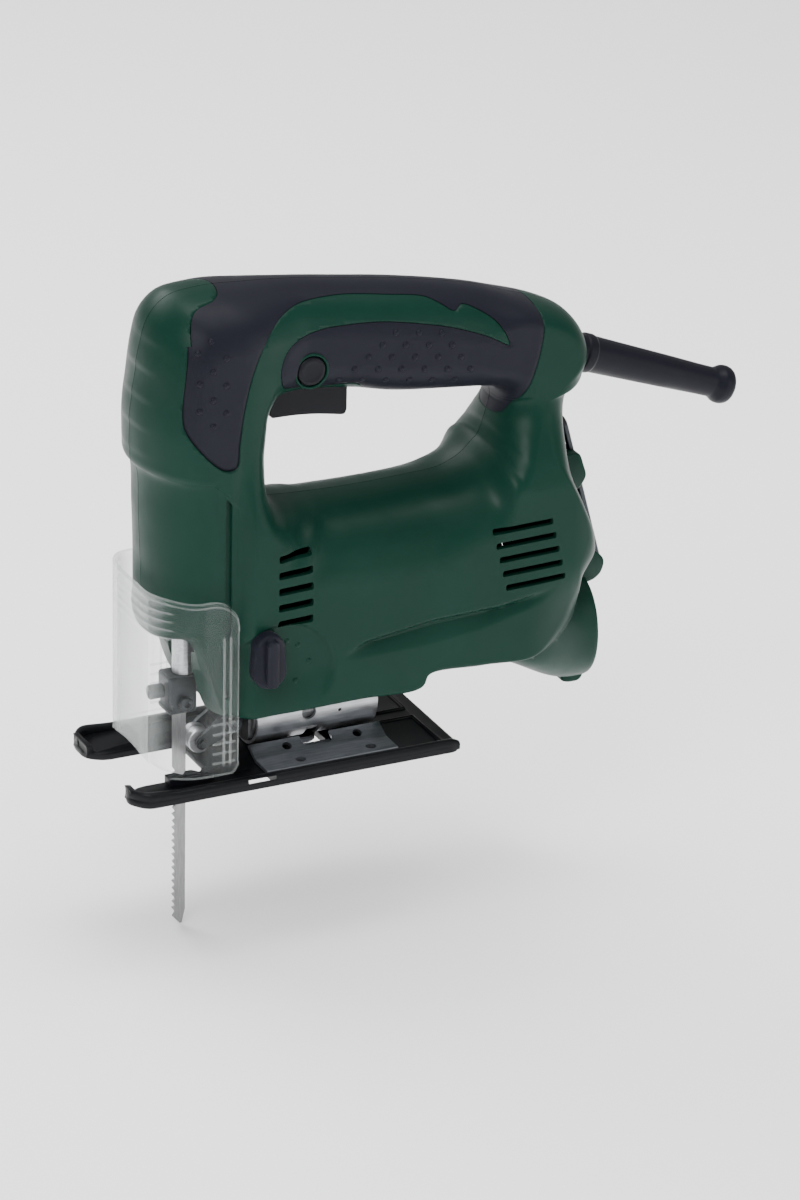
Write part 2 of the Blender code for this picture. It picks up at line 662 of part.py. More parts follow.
def orbit(steel, dark):
    """Forked arm and the grooved roller that carries the back of the blade."""
    pivot = (ARM_PIVOT[0], 0, ARM_PIVOT[1])
    along = math.degrees(math.atan2(ROLLER[1] - ARM_PIVOT[1], ROLLER[0] - ARM_PIVOT[0]))
    plate = arc(ROLLER, 2.9, along - 90, along + 90, 6)
    plate += arc(ARM_PIVOT, 4.6, along + 90, along + 270, 6)
    arm = solid("roller_arm", prism(plate, "y", 4.4, 6.2), dark, pivot=pivot)
    middle = Vector(ROLLER).lerp(Vector(ARM_PIVOT), 0.72)
    join(arm, box((middle.x - 2.4, -5.8, middle.y - 2.4), (middle.x + 2.4, 5.0, middle.y + 2.4)))
    join(arm, prism(plate, "y", -6.2, -4.4))
    cut(arm, rod(2.3, -9, 9, "y", ARM_PIVOT, 16))
    cut(arm, rod(1.6, -9, 9, "y", ROLLER, 14))
    solid("arm_pin", rod(2.0, -10.8, 10.8, "y", ARM_PIVOT, 16), steel)
    solid("roller_pin", rod(1.3, -7.2, 7.2, "y", ROLLER, 14), steel, pivot=pivot)
    loop = [(5.2, -4), (5.2, -1.3), (4.7, -0.95), (4.7, 0.95), (5.2, 1.3), (5.2, 4), (1.7, 4),
            (1.7, -4)]
    solid("guide_roller", turned(loop, "y", ROLLER, 16, ring=True), steel,
          pivot=(ROLLER[0], 0, ROLLER[1]))


# Base -------------------------------------------------------------------------------------


def base_plate(finish):
    pivot = (0, 0, BEVEL_Z)
    front, rear, half = BASE_FRONT, BASE_REAR, BASE_HALF
    outline = rounded([(front + 5, -half), (rear, -half), (rear, half), (front + 5, half),
                       (front, half - 7), (front, NOTCH_FAR + 5), (front + 7, NOTCH_FAR),
                       (NOTCH_REAR, NOTCH_FAR), (NOTCH_REAR, NOTCH_NEAR),
                       (front + 7, NOTCH_NEAR), (front, NOTCH_NEAR - 5), (front, -half + 7)], 3)
    plate = solid("base_plate", prism(outline, "z", 0, SHEET), finish, pivot=pivot)
    rail = rounded(rectangle((front + 8, half - 2.6), (rear - 0.2, half - 0.1)), 1)
    join(plate, prism(rail, "z", 1.2, RAIL_TOP))
    join(plate, prism([(x, -y) for x, y in rail], "z", 1.2, RAIL_TOP))
    for low, high in ((NOTCH_FAR + 6, half - 8), (-half + 8, NOTCH_NEAR - 6)):
        join(plate, box((front + 0.1, low, 1.2), (front + 2.7, high, RAIL_TOP + 1)))
    cut(plate, box((-25, -half - 2, SHEET + 0.3), (-13, half + 2, SHEET + 1.7)))
    cut(plate, bolt_window())


def bolt_window():
    """Room for the clamp bolt's head as the base tilts under it."""
    outline = rounded(rectangle((BOLT_X - 7, -20), (BOLT_X + 7, 8)), 3)
    return prism(outline, "z", -3, SHEET + 4)


def base_bracket(steel, dark):
    pivot = (0, 0, BEVEL_Z)
    top = SHEET + GAP + 1.5
    outline = rounded(rectangle((-15, -31), (43, 31)), 2)
    bracket = solid("base_bracket", prism(outline, "z", SHEET + GAP, top), dark, pivot=pivot)
    cut(bracket, box((TROUGH_FRONT - 0.5, -10, 0), (TROUGH_REAR + 0.5, 10, 10)))
    cut(bracket, bolt_window())
    rivet_places = [(x, y) for x in (2, 33) for y in (-26, 26)]
    holes = [rod(2.2, 0, 10, "z", p, 16) for p in rivet_places]
    holes += [rod(1.8, 0, 10, "z", (x, y), 14) for x in (0.5, 31.5) for y in (-16.5, 16.5)]
    cut(bracket, merged(*holes))
    for number, place_xy in enumerate(rivet_places, 1):
        solid(f"base_rivet_{number}", rod(1.9, SHEET + GAP, top - 0.5, "z", place_xy, 16), steel,
              pivot=pivot)
    outer = arc((0, BEVEL_Z), TROUGH_R, 180, 360, 14)
    inner = arc((0, BEVEL_Z), TROUGH_R - TROUGH_WALL, 360, 180, 14)
    trough = solid("bevel_trough", prism(outer + inner, "x", TROUGH_FRONT, TROUGH_REAR), steel,
                   pivot=pivot)
    # The bolt stays upright while the trough turns to +45 degrees, so its slot runs to -Y.
    slot = arc((0, BEVEL_Z), TROUGH_R + 3, 222 - 14, 284, 8)
    slot += arc((0, BEVEL_Z), TROUGH_R - TROUGH_WALL - 2, 284, 222 - 14, 8)
    cut(trough, prism(slot, "x", BOLT_X - 3.2, BOLT_X + 3.2))
    cut(trough, rod(3.4, -20, -8, "y", (4.5, BEVEL_Z + 0.5), 16))


def base_bolt(steel):
    head = turned([(0, 0.7), (5.2, 0.7), (5.6, 1.1), (5.6, 3.6), (2.7, 3.6), (2.7, 30), (0, 30)],
                  "z", (BOLT_X, 0), 18)
    bolt = solid("base_bolt", head, steel, pivot=(BOLT_X, 0, 0))
    cut(bolt, prism(circle((BOLT_X, 0), 2.6, 6), "z", -1, 2.4))


def splinter_insert(finish):
    """The notched plastic insert beside the blade."""
    outline = [(-55, -27), (-36, -27), (-36, -20.6), (-39, -20.6), (-41, -23.5), (-44, -20.6),
               (-46, -20.6), (-48, -23.5), (-50.5, -20.6), (-55, -20.6)]
    solid("splinter_insert", prism(outline, "z", SHEET + GAP, SHEET + 3.4), finish,
          pivot=(0, 0, BEVEL_Z), smooth=False)


# Controls and covers ----------------------------------------------------------------------


def dust_guard(finish):
    """A clear U-shaped cover round the front of the barrel."""
    outer_half, thick, front, rear = 31.3, 1.5, -61.5, -27.6
    low, high = 7.0, 84.0
    corner = 20.0

    def plan(inset):
        half, nose, bend = outer_half - inset, front + inset, corner - inset
        points = [(rear, -half)]
        points += arc((nose + bend, -half + bend), bend, 270, 180, 7)
        points += arc((nose + bend, half - bend), bend, 180, 90, 7)
        return points + [(rear, half)]

    outline = plan(0) + plan(thick)[::-1]
    guard = solid("dust_guard", prism(outline, "z", low, high), finish, pivot=(front, 0, low))
    front_arch = [(-26, 0), (-26, 8.5), (-20, 13), (20, 13), (26, 8.5), (26, 0)]
    cut(guard, prism(front_arch, "x", -70, -50))


def selector_knob(finish):
    pivot = (KNOB_X, 0, KNOB_Z)
    outline = arc((KNOB_X, KNOB_Z + 5), 6.2, 0, 180, 8)
    outline += arc((KNOB_X, KNOB_Z - 5), 7.0, 180, 360, 8)
    knob = solid("selector_knob", prism(outline, "y", -41.5, -BODY_HALF - GAP), finish,
                 pivot=pivot)
    join(knob, rod(4.0, -BODY_HALF - 2, -23, "y", (KNOB_X, KNOB_Z), 16))


def trigger(finish):
    outline = rounded([(-4.8, 146.3), (8, 145), (18, 144), (26, 142.3), (28.4, 144), (28.4, 158),
                       (-4.8, 158)], 1.5)
    solid("trigger", prism(outline, "y", -8, 8), finish, pivot=(10, 0, 150))


def lock_button(finish):
    face = -HANDLE_HALF - 1.4
    profile = [(0, face), (LOCK_R - 0.6, face), (LOCK_R, face + 0.5), (LOCK_R, -15.2),
               (3, -15.2), (3, -12), (0, -12)]
    solid("lock_button", turned(profile, "y", (LOCK_X, LOCK_Z), 20), finish,
          pivot=(LOCK_X, face, LOCK_Z))


def inner_pieces(black, steel):
    outline = rounded(rectangle((-4, 163.6), (29, 181)), 1.5)
    solid("switch_body", prism(outline, "y", -8.6, 8.6), black)
    for number, (x, z) in enumerate(SCREWS, 1):
        wall = half_width(x, z)
        profile = [(0, wall - 18), (1.6, wall - 18), (1.6, wall - 2.1), (3.1, wall - 2.1),
                   (3.1, wall - 0.8), (2.4, wall - 0.2), (0, wall - 0.2)]
        solid(f"housing_screw_{number}", turned(profile, "y", (x, z), 10), steel)


def build():
    for obj in list(bpy.data.objects):
        bpy.data.objects.remove(obj)
    green = material("green_plastic", GREEN, 0.0, 0.42)
    soft = material("soft_grip", SOFT, 0.0, 0.6)
    black = material("black_plastic", BLACK, 0.0, 0.45)
    coated = material("black_coated_steel", BLACK, 0.2, 0.4)
    steel = material("bright_steel", STEEL, 1.0, 0.3)
    dark = material("dark_steel", DARK_STEEL, 0.9, 0.4)
    aluminium = material("cast_aluminium", ALUMINIUM, 1.0, 0.45)
    brass = material("brass", BRASS, 1.0, 0.35)
    copper = material("copper", COPPER, 1.0, 0.4)
    carbon = material("carbon", CARBON, 0.0, 0.8)
    clear = material("clear_plastic", CLEAR, 0.0, 0.08, alpha=0.3)

    for name, side in (("left", -1), ("right", 1)):
        half = housing_half("housing_" + name, side, green)
        pad = grip_half("grip_" + name, side, soft)
        grip_recess(half, side)
        cut(pad, cord_bore())
        if side < 0:
            cut(pad, rod(LOCK_R + 0.4, -40, -8, "y", (LOCK_X, LOCK_Z), 20))
        else:
            cut(pad, screw_wells())
    cord_guard(black)
    hex_wrench(dark)
    drive_gear(steel)
    pinion(steel)
    armature(steel, copper, black)
    field(dark, copper)
    brushes(brass, carbon)
    gear_case(aluminium)
    bearings(steel)
    plunger(steel, dark)
    blade_parts(steel, dark)
    guide(aluminium, steel)
    orbit(steel, dark)
    base_plate(coated)
    base_bracket(steel, dark)
    base_bolt(steel)
    splinter_insert(black)
    dust_guard(clear)
    selector_knob(black)
    trigger(black)
    lock_button(black)
    inner_pieces(black, steel)


CUTTER = material("cutter", BLACK, 0.0, 0.5)
build()
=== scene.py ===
import math

import bmesh
import bpy
import numpy as np
from mathutils import Matrix, Vector
from mathutils.bvhtree import BVHTree


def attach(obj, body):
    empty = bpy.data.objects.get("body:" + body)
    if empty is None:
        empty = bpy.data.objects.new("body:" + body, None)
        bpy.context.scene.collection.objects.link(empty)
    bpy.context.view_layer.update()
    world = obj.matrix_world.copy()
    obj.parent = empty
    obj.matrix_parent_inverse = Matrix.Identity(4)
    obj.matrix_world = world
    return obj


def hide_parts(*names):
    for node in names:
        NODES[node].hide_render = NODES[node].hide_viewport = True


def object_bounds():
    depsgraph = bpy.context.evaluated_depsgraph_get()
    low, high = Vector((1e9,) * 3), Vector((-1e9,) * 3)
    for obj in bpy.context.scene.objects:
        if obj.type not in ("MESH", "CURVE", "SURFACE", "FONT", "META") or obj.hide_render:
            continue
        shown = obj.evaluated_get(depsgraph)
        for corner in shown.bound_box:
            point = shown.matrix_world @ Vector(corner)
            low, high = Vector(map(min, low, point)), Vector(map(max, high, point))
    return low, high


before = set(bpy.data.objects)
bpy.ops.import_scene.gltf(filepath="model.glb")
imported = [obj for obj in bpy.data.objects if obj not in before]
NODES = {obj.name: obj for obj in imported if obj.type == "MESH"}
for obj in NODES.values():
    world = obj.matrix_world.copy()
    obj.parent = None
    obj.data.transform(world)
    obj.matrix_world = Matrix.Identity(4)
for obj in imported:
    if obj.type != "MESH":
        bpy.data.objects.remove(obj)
CAD_BOX = [list(corner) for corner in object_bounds()]
MM = 0.001


# Materials --------------------------------------------------------------------------------


class Finish:
    """A Principled material with helpers for the nodes that drive it."""

    def __init__(self, name, colour, metallic=0.0, roughness=0.5, **shader_values):
        self.material = bpy.data.materials.new(name)
        self.material.use_nodes = True
        self.tree = self.material.node_tree
        self.shader = self.tree.nodes["Principled BSDF"]
        self.put("Base Color", (*colour, 1.0))
        self.put("Metallic", metallic)
        self.put("Roughness", roughness)
        for key, value in shader_values.items():
            self.put(key.replace("_", " "), value)
        self.material.diffuse_color = (*colour, 1.0)

    def put(self, socket, value):
        self.shader.inputs[socket].default_value = value

    def node(self, kind, **values):
        made = self.tree.nodes.new(kind)
        for key, value in values.items():
            setattr(made, key, value)
        return made

    def link(self, start, end):
        self.tree.links.new(start, end)

    def coordinates(self, stretch=(1, 1, 1)):
        source = self.node("ShaderNodeTexCoord")
        mapping = self.node("ShaderNodeMapping")
        mapping.inputs["Scale"].default_value = stretch
        self.link(source.outputs["Object"], mapping.inputs["Vector"])
        return mapping.outputs["Vector"]

    def noise(self, scale, detail=2.0, stretch=(1, 1, 1), roughness=0.5):
        made = self.node("ShaderNodeTexNoise")
        made.inputs["Scale"].default_value = scale
        made.inputs["Detail"].default_value = detail
        made.inputs["Roughness"].default_value = roughness
        self.link(self.coordinates(stretch), made.inputs["Vector"])
        return made.outputs["Fac"]

    def ramp(self, value, low, high, low_colour, high_colour):
        made = self.node("ShaderNodeValToRGB")
        made.color_ramp.elements[0].position = low
        made.color_ramp.elements[0].color = (*low_colour, 1.0)
        made.color_ramp.elements[1].position = high
        made.color_ramp.elements[1].color = (*high_colour, 1.0)
        self.link(value, made.inputs["Fac"])
        return made.outputs["Color"]

    def spread(self, value, low, high):
        made = self.node("ShaderNodeMapRange")
        made.inputs["From Min"].default_value = 0.3
        made.inputs["From Max"].default_value = 0.7
        made.inputs["To Min"].default_value = low
        made.inputs["To Max"].default_value = high
        self.link(value, made.inputs["Value"])
        return made.outputs["Result"]

    def colour_from(self, value, low_colour, high_colour, low=0.35, high=0.65):
        colour = self.ramp(value, low, high, low_colour, high_colour)
        self.link(colour, self.shader.inputs["Base Color"])

    def roughness_from(self, value, low, high):
        self.link(self.spread(value, low, high), self.shader.inputs["Roughness"])

    def bump(self, *layers):
        """Layers of (height, strength, distance in metres), stacked."""
        normal = None
        for height, strength, distance in layers:
            made = self.node("ShaderNodeBump")
            made.inputs["Strength"].default_value = strength
            made.inputs["Distance"].default_value = distance
            self.link(height, made.inputs["Height"])
            if normal is not None:
                self.link(normal, made.inputs["Normal"])
            normal = made.outputs["Normal"]
        self.link(normal, self.shader.inputs["Normal"])


def scaled(colour, factor):
    return tuple(min(c * factor, 1.0) for c in colour)


def moulded(name, colour, roughness, grain, depth, sheen=0.0, gloss=0.14):
    """Moulded plastic: spark-eroded grain, faint flow marks and uneven gloss."""
    made = Finish(name, colour, 0.0, roughness, Sheen_Weight=sheen, Specular_IOR_Level=gloss)
    flow = made.noise(28, 3.0)
    made.colour_from(flow, scaled(colour, 0.94), scaled(colour, 1.06))
    made.roughness_from(made.noise(90, 4.0), roughness - 0.05, roughness + 0.06)
    made.bump((made.noise(grain, 3.0, roughness=0.7), 0.35, depth * MM),
              (made.noise(45, 1.0), 0.15, 0.05 * MM))
    return made.material


def metal(name, colour, roughness, stretch, scale, depth, metallic=1.0):
    """Metal with drawn or cast marks, finer or longer by the stretch of its noise."""
    made = Finish(name, colour, metallic, roughness)
    marks = made.noise(scale, 4.0, stretch, roughness=0.65)
    made.colour_from(marks, scaled(colour, 0.82), scaled(colour, 1.12))
    made.roughness_from(made.noise(160, 3.0), roughness - 0.07, roughness + 0.09)
    made.bump((marks, 0.4, depth * MM))
    return made.material


GREEN_COLOUR = (0.0028, 0.0300, 0.0190)
GREEN = moulded("moulded_green", GREEN_COLOUR, 0.40, 2600, 0.035)
SOFT = moulded("soft_grip_rubber", (0.0088, 0.0092, 0.0165), 0.46, 3600, 0.04, sheen=0.02)
BLACK = moulded("moulded_black", (0.0075, 0.0078, 0.0105), 0.40, 2400, 0.03)
COATED = moulded("black_coated_steel", (0.0065, 0.007, 0.0085), 0.36, 1300, 0.03)
CORD = moulded("cord_rubber", (0.0075, 0.0078, 0.013), 0.42, 3000, 0.03, sheen=0.01)
SATIN = metal("satin_steel", (0.56, 0.57, 0.59), 0.40, (0.05, 1, 1), 900, 0.006)
BRIGHT = metal("bright_steel", (0.62, 0.62, 0.63), 0.26, (1, 1, 0.06), 1400, 0.008)
BLADE = metal("blade_steel", (0.30, 0.30, 0.305), 0.38, (1, 1, 0.08), 1600, 0.012)
DARK = metal("dark_steel", (0.045, 0.049, 0.055), 0.38, (1, 1, 1), 700, 0.02, metallic=0.85)
BRACKET = metal("bracket_steel", (0.235, 0.250, 0.275), 0.42, (0.12, 1, 1), 700, 0.014,
                metallic=0.9)
CAST = metal("cast_alloy", (0.20, 0.205, 0.21), 0.50, (1, 1, 1), 900, 0.02)
BRASS = metal("brass", (0.60, 0.42, 0.16), 0.35, (1, 1, 1), 900, 0.01)
COPPER = metal("copper", (0.55, 0.25, 0.12), 0.40, (0.1, 1, 1), 1500, 0.04)
CARBON = moulded("carbon", (0.03, 0.03, 0.032), 0.75, 2000, 0.03)


def clear_plastic():
    """Injection-moulded clear polymer: nearly invisible face on, milky along its edges."""
    made = Finish("clear_polymer", (0.74, 0.79, 0.78), 0.0, 0.08, IOR=1.49, Specular_IOR_Level=0.6)
    facing = made.node("ShaderNodeLayerWeight")
    facing.inputs["Blend"].default_value = 0.5
    reach = made.node("ShaderNodeMapRange")
    reach.inputs["From Min"].default_value = 0.15
    reach.inputs["From Max"].default_value = 0.95
    reach.inputs["To Min"].default_value = 0.02
    reach.inputs["To Max"].default_value = 0.55
    made.link(facing.outputs["Facing"], reach.inputs["Value"])
    made.link(reach.outputs["Result"], made.shader.inputs["Alpha"])
    made.roughness_from(made.noise(120, 4.0), 0.05, 0.12)
    made.colour_from(made.noise(60, 2.0), (0.70, 0.75, 0.74), (0.78, 0.82, 0.81))
    made.bump((made.noise(70, 2.0), 0.08, 0.03 * MM))
    return made.material


CLEAR = clear_plastic()


# Shapes, in millimetres -------------------------------------------------------------------


def mix(a, b, part):
    return a + (b - a) * part


def smooth(value, low, high):
    part = np.clip((value - low) / (high - low), 0.0, 1.0)
    return part * part * (3 - 2 * part)


def arc(centre, radius, start, end, steps):
    angles = np.radians(np.linspace(start, end, steps + 1))
    return [(centre[0] + radius * math.cos(a), centre[1] + radius * math.sin(a)) for a in angles]


def circle(centre, radius, steps):
    return arc(centre, radius, 0, 360, steps)[:-1]


def oval(centre_z, wide, tall, power, steps=72):
    """A superellipse, squarer as its power grows."""
    points = []
    for j in range(steps):
        a = 2 * math.pi * j / steps
        c, d = math.cos(a), math.sin(a)
        reach = (abs(c) ** power + abs(d) ** power) ** (-1 / power)
        points.append((wide * c * reach, centre_z + tall * d * reach))
    return points


def eased(before, corner, after, radius, steps):
    """The curve that replaces one corner of an outline."""
    corner = Vector(corner)
    before, after = Vector(before) - corner, Vector(after) - corner
    reach = min(radius, before.length / 2.1, after.length / 2.1)
    start = corner + before.normalized() * reach
    end = corner + after.normalized() * reach
    shares = [j / steps for j in range(steps + 1)]
    return [tuple(start * (1 - t) ** 2 + corner * 2 * t * (1 - t) + end * t * t) for t in shares]


def rounded(corners, radius, steps=6):
    """A closed outline with its corners eased."""
    points = []
    for i, corner in enumerate(corners):
        points += eased(corners[i - 1], corner, corners[(i + 1) % len(corners)], radius, steps)
    return points


def rectangle(low, high):
    return [(low[0], low[1]), (high[0], low[1]), (high[0], high[1]), (low[0], high[1])]


def place(axis, across, along):
    if axis == "x":
        return (along, across[0], across[1])
    if axis == "y":
        return (across[0], along, across[1])
    return (across[0], across[1], along)


def prism(outline, axis, low, high):
    count = len(outline)
    verts = [place(axis, p, low) for p in outline] + [place(axis, p, high) for p in outline]
    faces = [tuple(range(count)), tuple(range(2 * count - 1, count - 1, -1))]
    faces += [(i, (i + 1) % count, (i + 1) % count + count, i + count) for i in range(count)]
    return verts, faces


def side_prism(outline, side, near, far):
    """A prism on one side of the tool, between two distances from its middle."""
    low, high = sorted((side * near, side * far))
    return prism(outline, "y", low, high)


def box(low, high):
    return prism(rectangle(low[:2], high[:2]), "z", low[2], high[2])


def turned(profile, axis, centre, steps=64, ring=False):
    """A profile of (radius, along) turned about an axis."""
    verts, rows = [], []
    for radius, along in profile:
        if radius == 0:
            rows.append([len(verts)])
            verts.append(place(axis, centre, along))
        else:
            rows.append(list(range(len(verts), len(verts) + steps)))
            verts += [place(axis, p, along) for p in circle(centre, radius, steps)]
    pairs = list(zip(rows, rows[1:]))
    if ring:
        pairs.append((rows[-1], rows[0]))
    faces = []
    for first, second in pairs:
        for i in range(steps):
            j = (i + 1) % steps
            quad = [first[i % len(first)], first[j % len(first)],
                    second[j % len(second)], second[i % len(second)]]
            faces.append(tuple(dict.fromkeys(quad)))
    return verts, faces


def softened(profile, radius=0.4, steps=4):
    """A profile with its inner corners eased, its ends kept."""
    points = [profile[0]]
    for before, corner, after in zip(profile, profile[1:], profile[2:]):
        points += eased(before, corner, after, radius, steps)
    return points + [profile[-1]]


def lofted(rows):
    """A closed shape through rings of points, with flat ends."""
    count = len(rows[0])
    verts = [point for row in rows for point in row]
    faces = [(i * count + j, i * count + (j + 1) % count, (i + 1) * count + (j + 1) % count,
              (i + 1) * count + j) for i in range(len(rows) - 1) for j in range(count)]
    faces += [tuple(range(count)), tuple(range(len(verts) - count, len(verts)))]
    return verts, faces


def merged(*shapes):
    verts, faces = [], []
    for shape_verts, shape_faces in shapes:
        start = len(verts)
        verts += [tuple(v) for v in shape_verts]
        faces += [tuple(i + start for i in face) for face in shape_faces]
    return verts, faces


def moved(shape, matrix):
    return [tuple(matrix @ Vector(v)) for v in shape[0]], shape[1]


def new_object(name, shape, finish=None):
    verts, faces = shape
    mesh = bpy.data.meshes.new(name)
    mesh.from_pydata([Vector(v) * MM for v in verts], [], faces)
    work = bmesh.new()
    work.from_mesh(mesh)
    bmesh.ops.recalc_face_normals(work, faces=work.faces)
    work.to_mesh(mesh)
    work.free()
    obj = bpy.data.objects.new(name, mesh)
    bpy.context.scene.collection.objects.link(obj)
    if finish:
        mesh.materials.append(finish)
    return obj


def applied(obj):
    """The object with its modifiers baked into its mesh."""
    bpy.context.view_layer.update()
    graph = bpy.context.evaluated_depsgraph_get()
    shaped = bpy.data.meshes.new_from_object(obj.evaluated_get(graph))
    obj.modifiers.clear()
    old = obj.data
    obj.data = shaped
    bpy.data.meshes.remove(old)
    return obj


def boolean(obj, other, operation):
    if not isinstance(other, bpy.types.Object):
        other = new_object("helper", other)
    step = obj.modifiers.new(operation, "BOOLEAN")
    step.object = other
    step.operation = operation
    step.solver = "MANIFOLD"
    applied(obj)
    bpy.data.objects.remove(other)
    return obj


def cut(obj, other):
    return boolean(obj, other, "DIFFERENCE")


def shade(obj, angle=38):
    obj.data.shade_smooth()
    obj.data.set_sharp_from_angle(angle=math.radians(angle))
    return obj


def bevelled(obj, width, segments=3, angle=32):
    step = obj.modifiers.new("edge", "BEVEL")
    step.width = width * MM
    step.segments = segments
    step.limit_method = "ANGLE"
    step.angle_limit = math.radians(angle)
    step.use_clamp_overlap = True
    step.harden_normals = True
    return obj


def finished(obj, body, slot, *nodes):
    """Gives the whole piece its one material and says what it rides on and replaces."""
    obj.data.polygons.foreach_set("material_index", [0] * len(obj.data.polygons))
    while len(obj.data.materials) > 1:
        obj.data.materials.pop()
    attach(obj, body)
    if nodes:
        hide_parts(*nodes)
    return obj


# Housing surface --------------------------------------------------------------------------

GAP, WALL, SKIN = 0.3, 2.6, 1.5
BODY_HALF, BARREL_HALF, HANDLE_HALF = 33.0, 28.0, 20.0
LOCK = (7.0, 168.5)
KNOB = (-17.0, 56.0)

# Ribs run from the outer edge to the hand opening: (radius outside, radius inside, ribs)

RIB_GROUPS = [
    (9, 12, [((133.5, 155), (95, 139)), ((131.7, 163), (94.5, 141.5)), ((126, 170.5), (93.5, 143)),
             ((116, 176), (91, 144)), ((103, 180.5), (86, 144.8))]),
    (19, 15, [((85, 186.6), (74, 145.6)), ((54.3, 193.2), (48, 148.5)), ((30, 197), (30, 152.5)),
              ((5, 200.5), (10, 155)), ((-14, 202), (-3, 154.5))]),
    (22, 12, [((-32, 202.8), (-8, 151)), ((-46, 200.5), (-9, 147)), ((-53.5, 193.5), (-9, 143)),
              ((-57, 182.7), (-9, 139)), ((-59.3, 167.9), (-9, 135)), ((-61, 154.9), (-9, 131)),
              ((-61.1, 140), (-9, 127)), ((-60.8, 134.5), (-9, 125.5)), ((-58.4, 131), (-9, 124.5)),
              ((-57.4, 110), (-8.5, 119)), ((-56.6, 89.6), (-7, 114)), ((-56.2, 72), (-5, 111.5))]),
    (20, 14, [((-55.5, 61.5), (-2, 110))]),
    (10, 18, [((-46, 59.5), (2, 109.6))]),
    (4, 24, [((-41, 50), (6, 109.3)), ((-35, 31), (12, 109))]),
    (5.5, 30, [((-32, 26.5), (16, 108.8)), ((-10, 25.5), (28, 108.5)), ((25, 25.5), (44, 108.6)),
              ((52, 25.5), (56, 109)), ((55, 30.5), (60, 109.2))]),
    (5.5, 24, [((80, 30.5), (72, 110)), ((105, 30.5), (82, 114))]),
    (20, 14, [((126, 32), (88, 119.5)), ((131.5, 43), (90, 121.5)), ((132, 54), (91, 123.5)),
              ((137.5, 65), (92, 126)), ((137, 74), (92.5, 128)), ((131.5, 88), (93.3, 130.5)),
              ((125, 104), (94, 133))]),
    (16, 14, [((123.7, 122), (94.5, 135)), ((125, 135.3), (94.8, 136.5)),
              ((127.2, 140.7), (95, 137.3)), ((132, 143.2), (95, 138)),
              ((133.8, 148), (95, 138.5))]),
]

# The soft grip's edge seen from the side, with the green stripe as a bay in it
GRIP_OUTLINE = [
    (-51, 212), (-46.5, 204), (-45.5, 197), (-46.6, 188), (-48.3, 175.7), (-49.8, 159),
    (-48.5, 153), (-38.6, 140.2), (-32.6, 136), (-28.3, 136.6), (-27, 146), (-25.3, 159),
    (-21.5, 174), (-16, 185), (-9, 191.5), (2, 195), (20, 195.2), (43, 192), (60, 188.7),
    (66, 185.5), (71, 182.5), (75, 184), (82, 181), (89, 175.5), (93.5, 166), (84, 170.8),
    (69, 176.5), (53, 180.7), (38, 183.6), (23, 184.8), (12, 184.8), (2, 182.6), (-4, 179),
    (-7, 173), (-7, 168), (-4.5, 163.5), (13, 159.5), (30, 158), (34, 152), (36, 140), (82, 138),
    (84, 136), (89, 131), (95, 133), (99, 140), (104, 150), (108, 165), (108.5, 178), (106, 188),
    (105, 212),
]


def curve_through(points, spacing):
    """Rows resampled evenly along a smooth closed curve through the given rows."""
    rows = np.array(points, float)
    rows = np.vstack([rows[-1:], rows, rows[:2]])
    steps = np.sqrt(np.linalg.norm(np.diff(rows[:, :2], axis=0), axis=1))
    slopes = np.diff(rows, axis=0) / steps[:, None]
    tangents = (slopes[:-1] * steps[1:, None] + slopes[1:] * steps[:-1, None])
    tangents /= (steps[:-1] + steps[1:])[:, None]
    dense = []
    for k in range(1, len(rows) - 2):
        span = steps[k]
        t = np.linspace(0, 1, 24, endpoint=False)[:, None]
        h00, h10 = 2 * t**3 - 3 * t**2 + 1, t**3 - 2 * t**2 + t
        h01, h11 = -2 * t**3 + 3 * t**2, t**3 - t**2
        dense.append(h00 * rows[k] + h10 * span * tangents[k - 1]
                     + h01 * rows[k + 1] + h11 * span * tangents[k])
    dense = np.vstack(dense + [dense[0][:1]])
    length = np.concatenate([[0], np.cumsum(np.linalg.norm(np.diff(dense[:, :2], axis=0), axis=1))])
    count = int(length[-1] / spacing)
    wanted = np.linspace(0, length[-1], count, endpoint=False)
    return np.column_stack([np.interp(wanted, length, column) for column in dense.T])


def side_distance(x, z, outline):
    """Signed distance to a closed outline, negative inside."""
    outline = np.array(outline, float)
    start, end = outline, np.roll(outline, -1, axis=0)
    nearest = np.full(x.shape, 1e9)
    inside = np.zeros(x.shape, bool)
    for (ax, az), (bx, bz) in zip(start, end):
        dx, dz = bx - ax, bz - az
        t = np.clip(((x - ax) * dx + (z - az) * dz) / (dx * dx + dz * dz), 0, 1)
        nearest = np.minimum(nearest, np.hypot(x - ax - t * dx, z - az - t * dz))
        if az != bz:
            crosses = ((az > z) != (bz > z)) & (x < (bx - ax) * (z - az) / (bz - az) + ax)
            inside ^= crosses
    return np.where(inside, -nearest, nearest)


def half_width(x, z):
    lower = mix(BARREL_HALF, BODY_HALF, smooth(x, -27.5, -21))
    lower = mix(lower, BODY_HALF - 5, smooth(x, 118, 140))
    lower = lower - 8.5 * smooth(x, 98, 134) * (1 - smooth(z, 46, 74))
    upper = mix(BARREL_HALF + 0.8, HANDLE_HALF, smooth(x, -26, 8))
    return mix(lower, upper, smooth(z, 106, 140))


def along_line(x, line):
    return np.interp(x, [p[0] for p in line], [p[1] for p in line])


STEP_LINE = [(-66, 136), (-58, 135), (-38, 131), (-32, 126), (-27, 119), (-20, 100)]
SWOOSH_TOP = [(14, 47.8), (20, 50.5), (27, 53), (56, 57), (86, 58), (104, 61), (115, 64)]
SWOOSH_LOW = [(14, 47.6), (33, 48), (55, 48.3), (77, 51), (104, 57.5), (115, 64)]


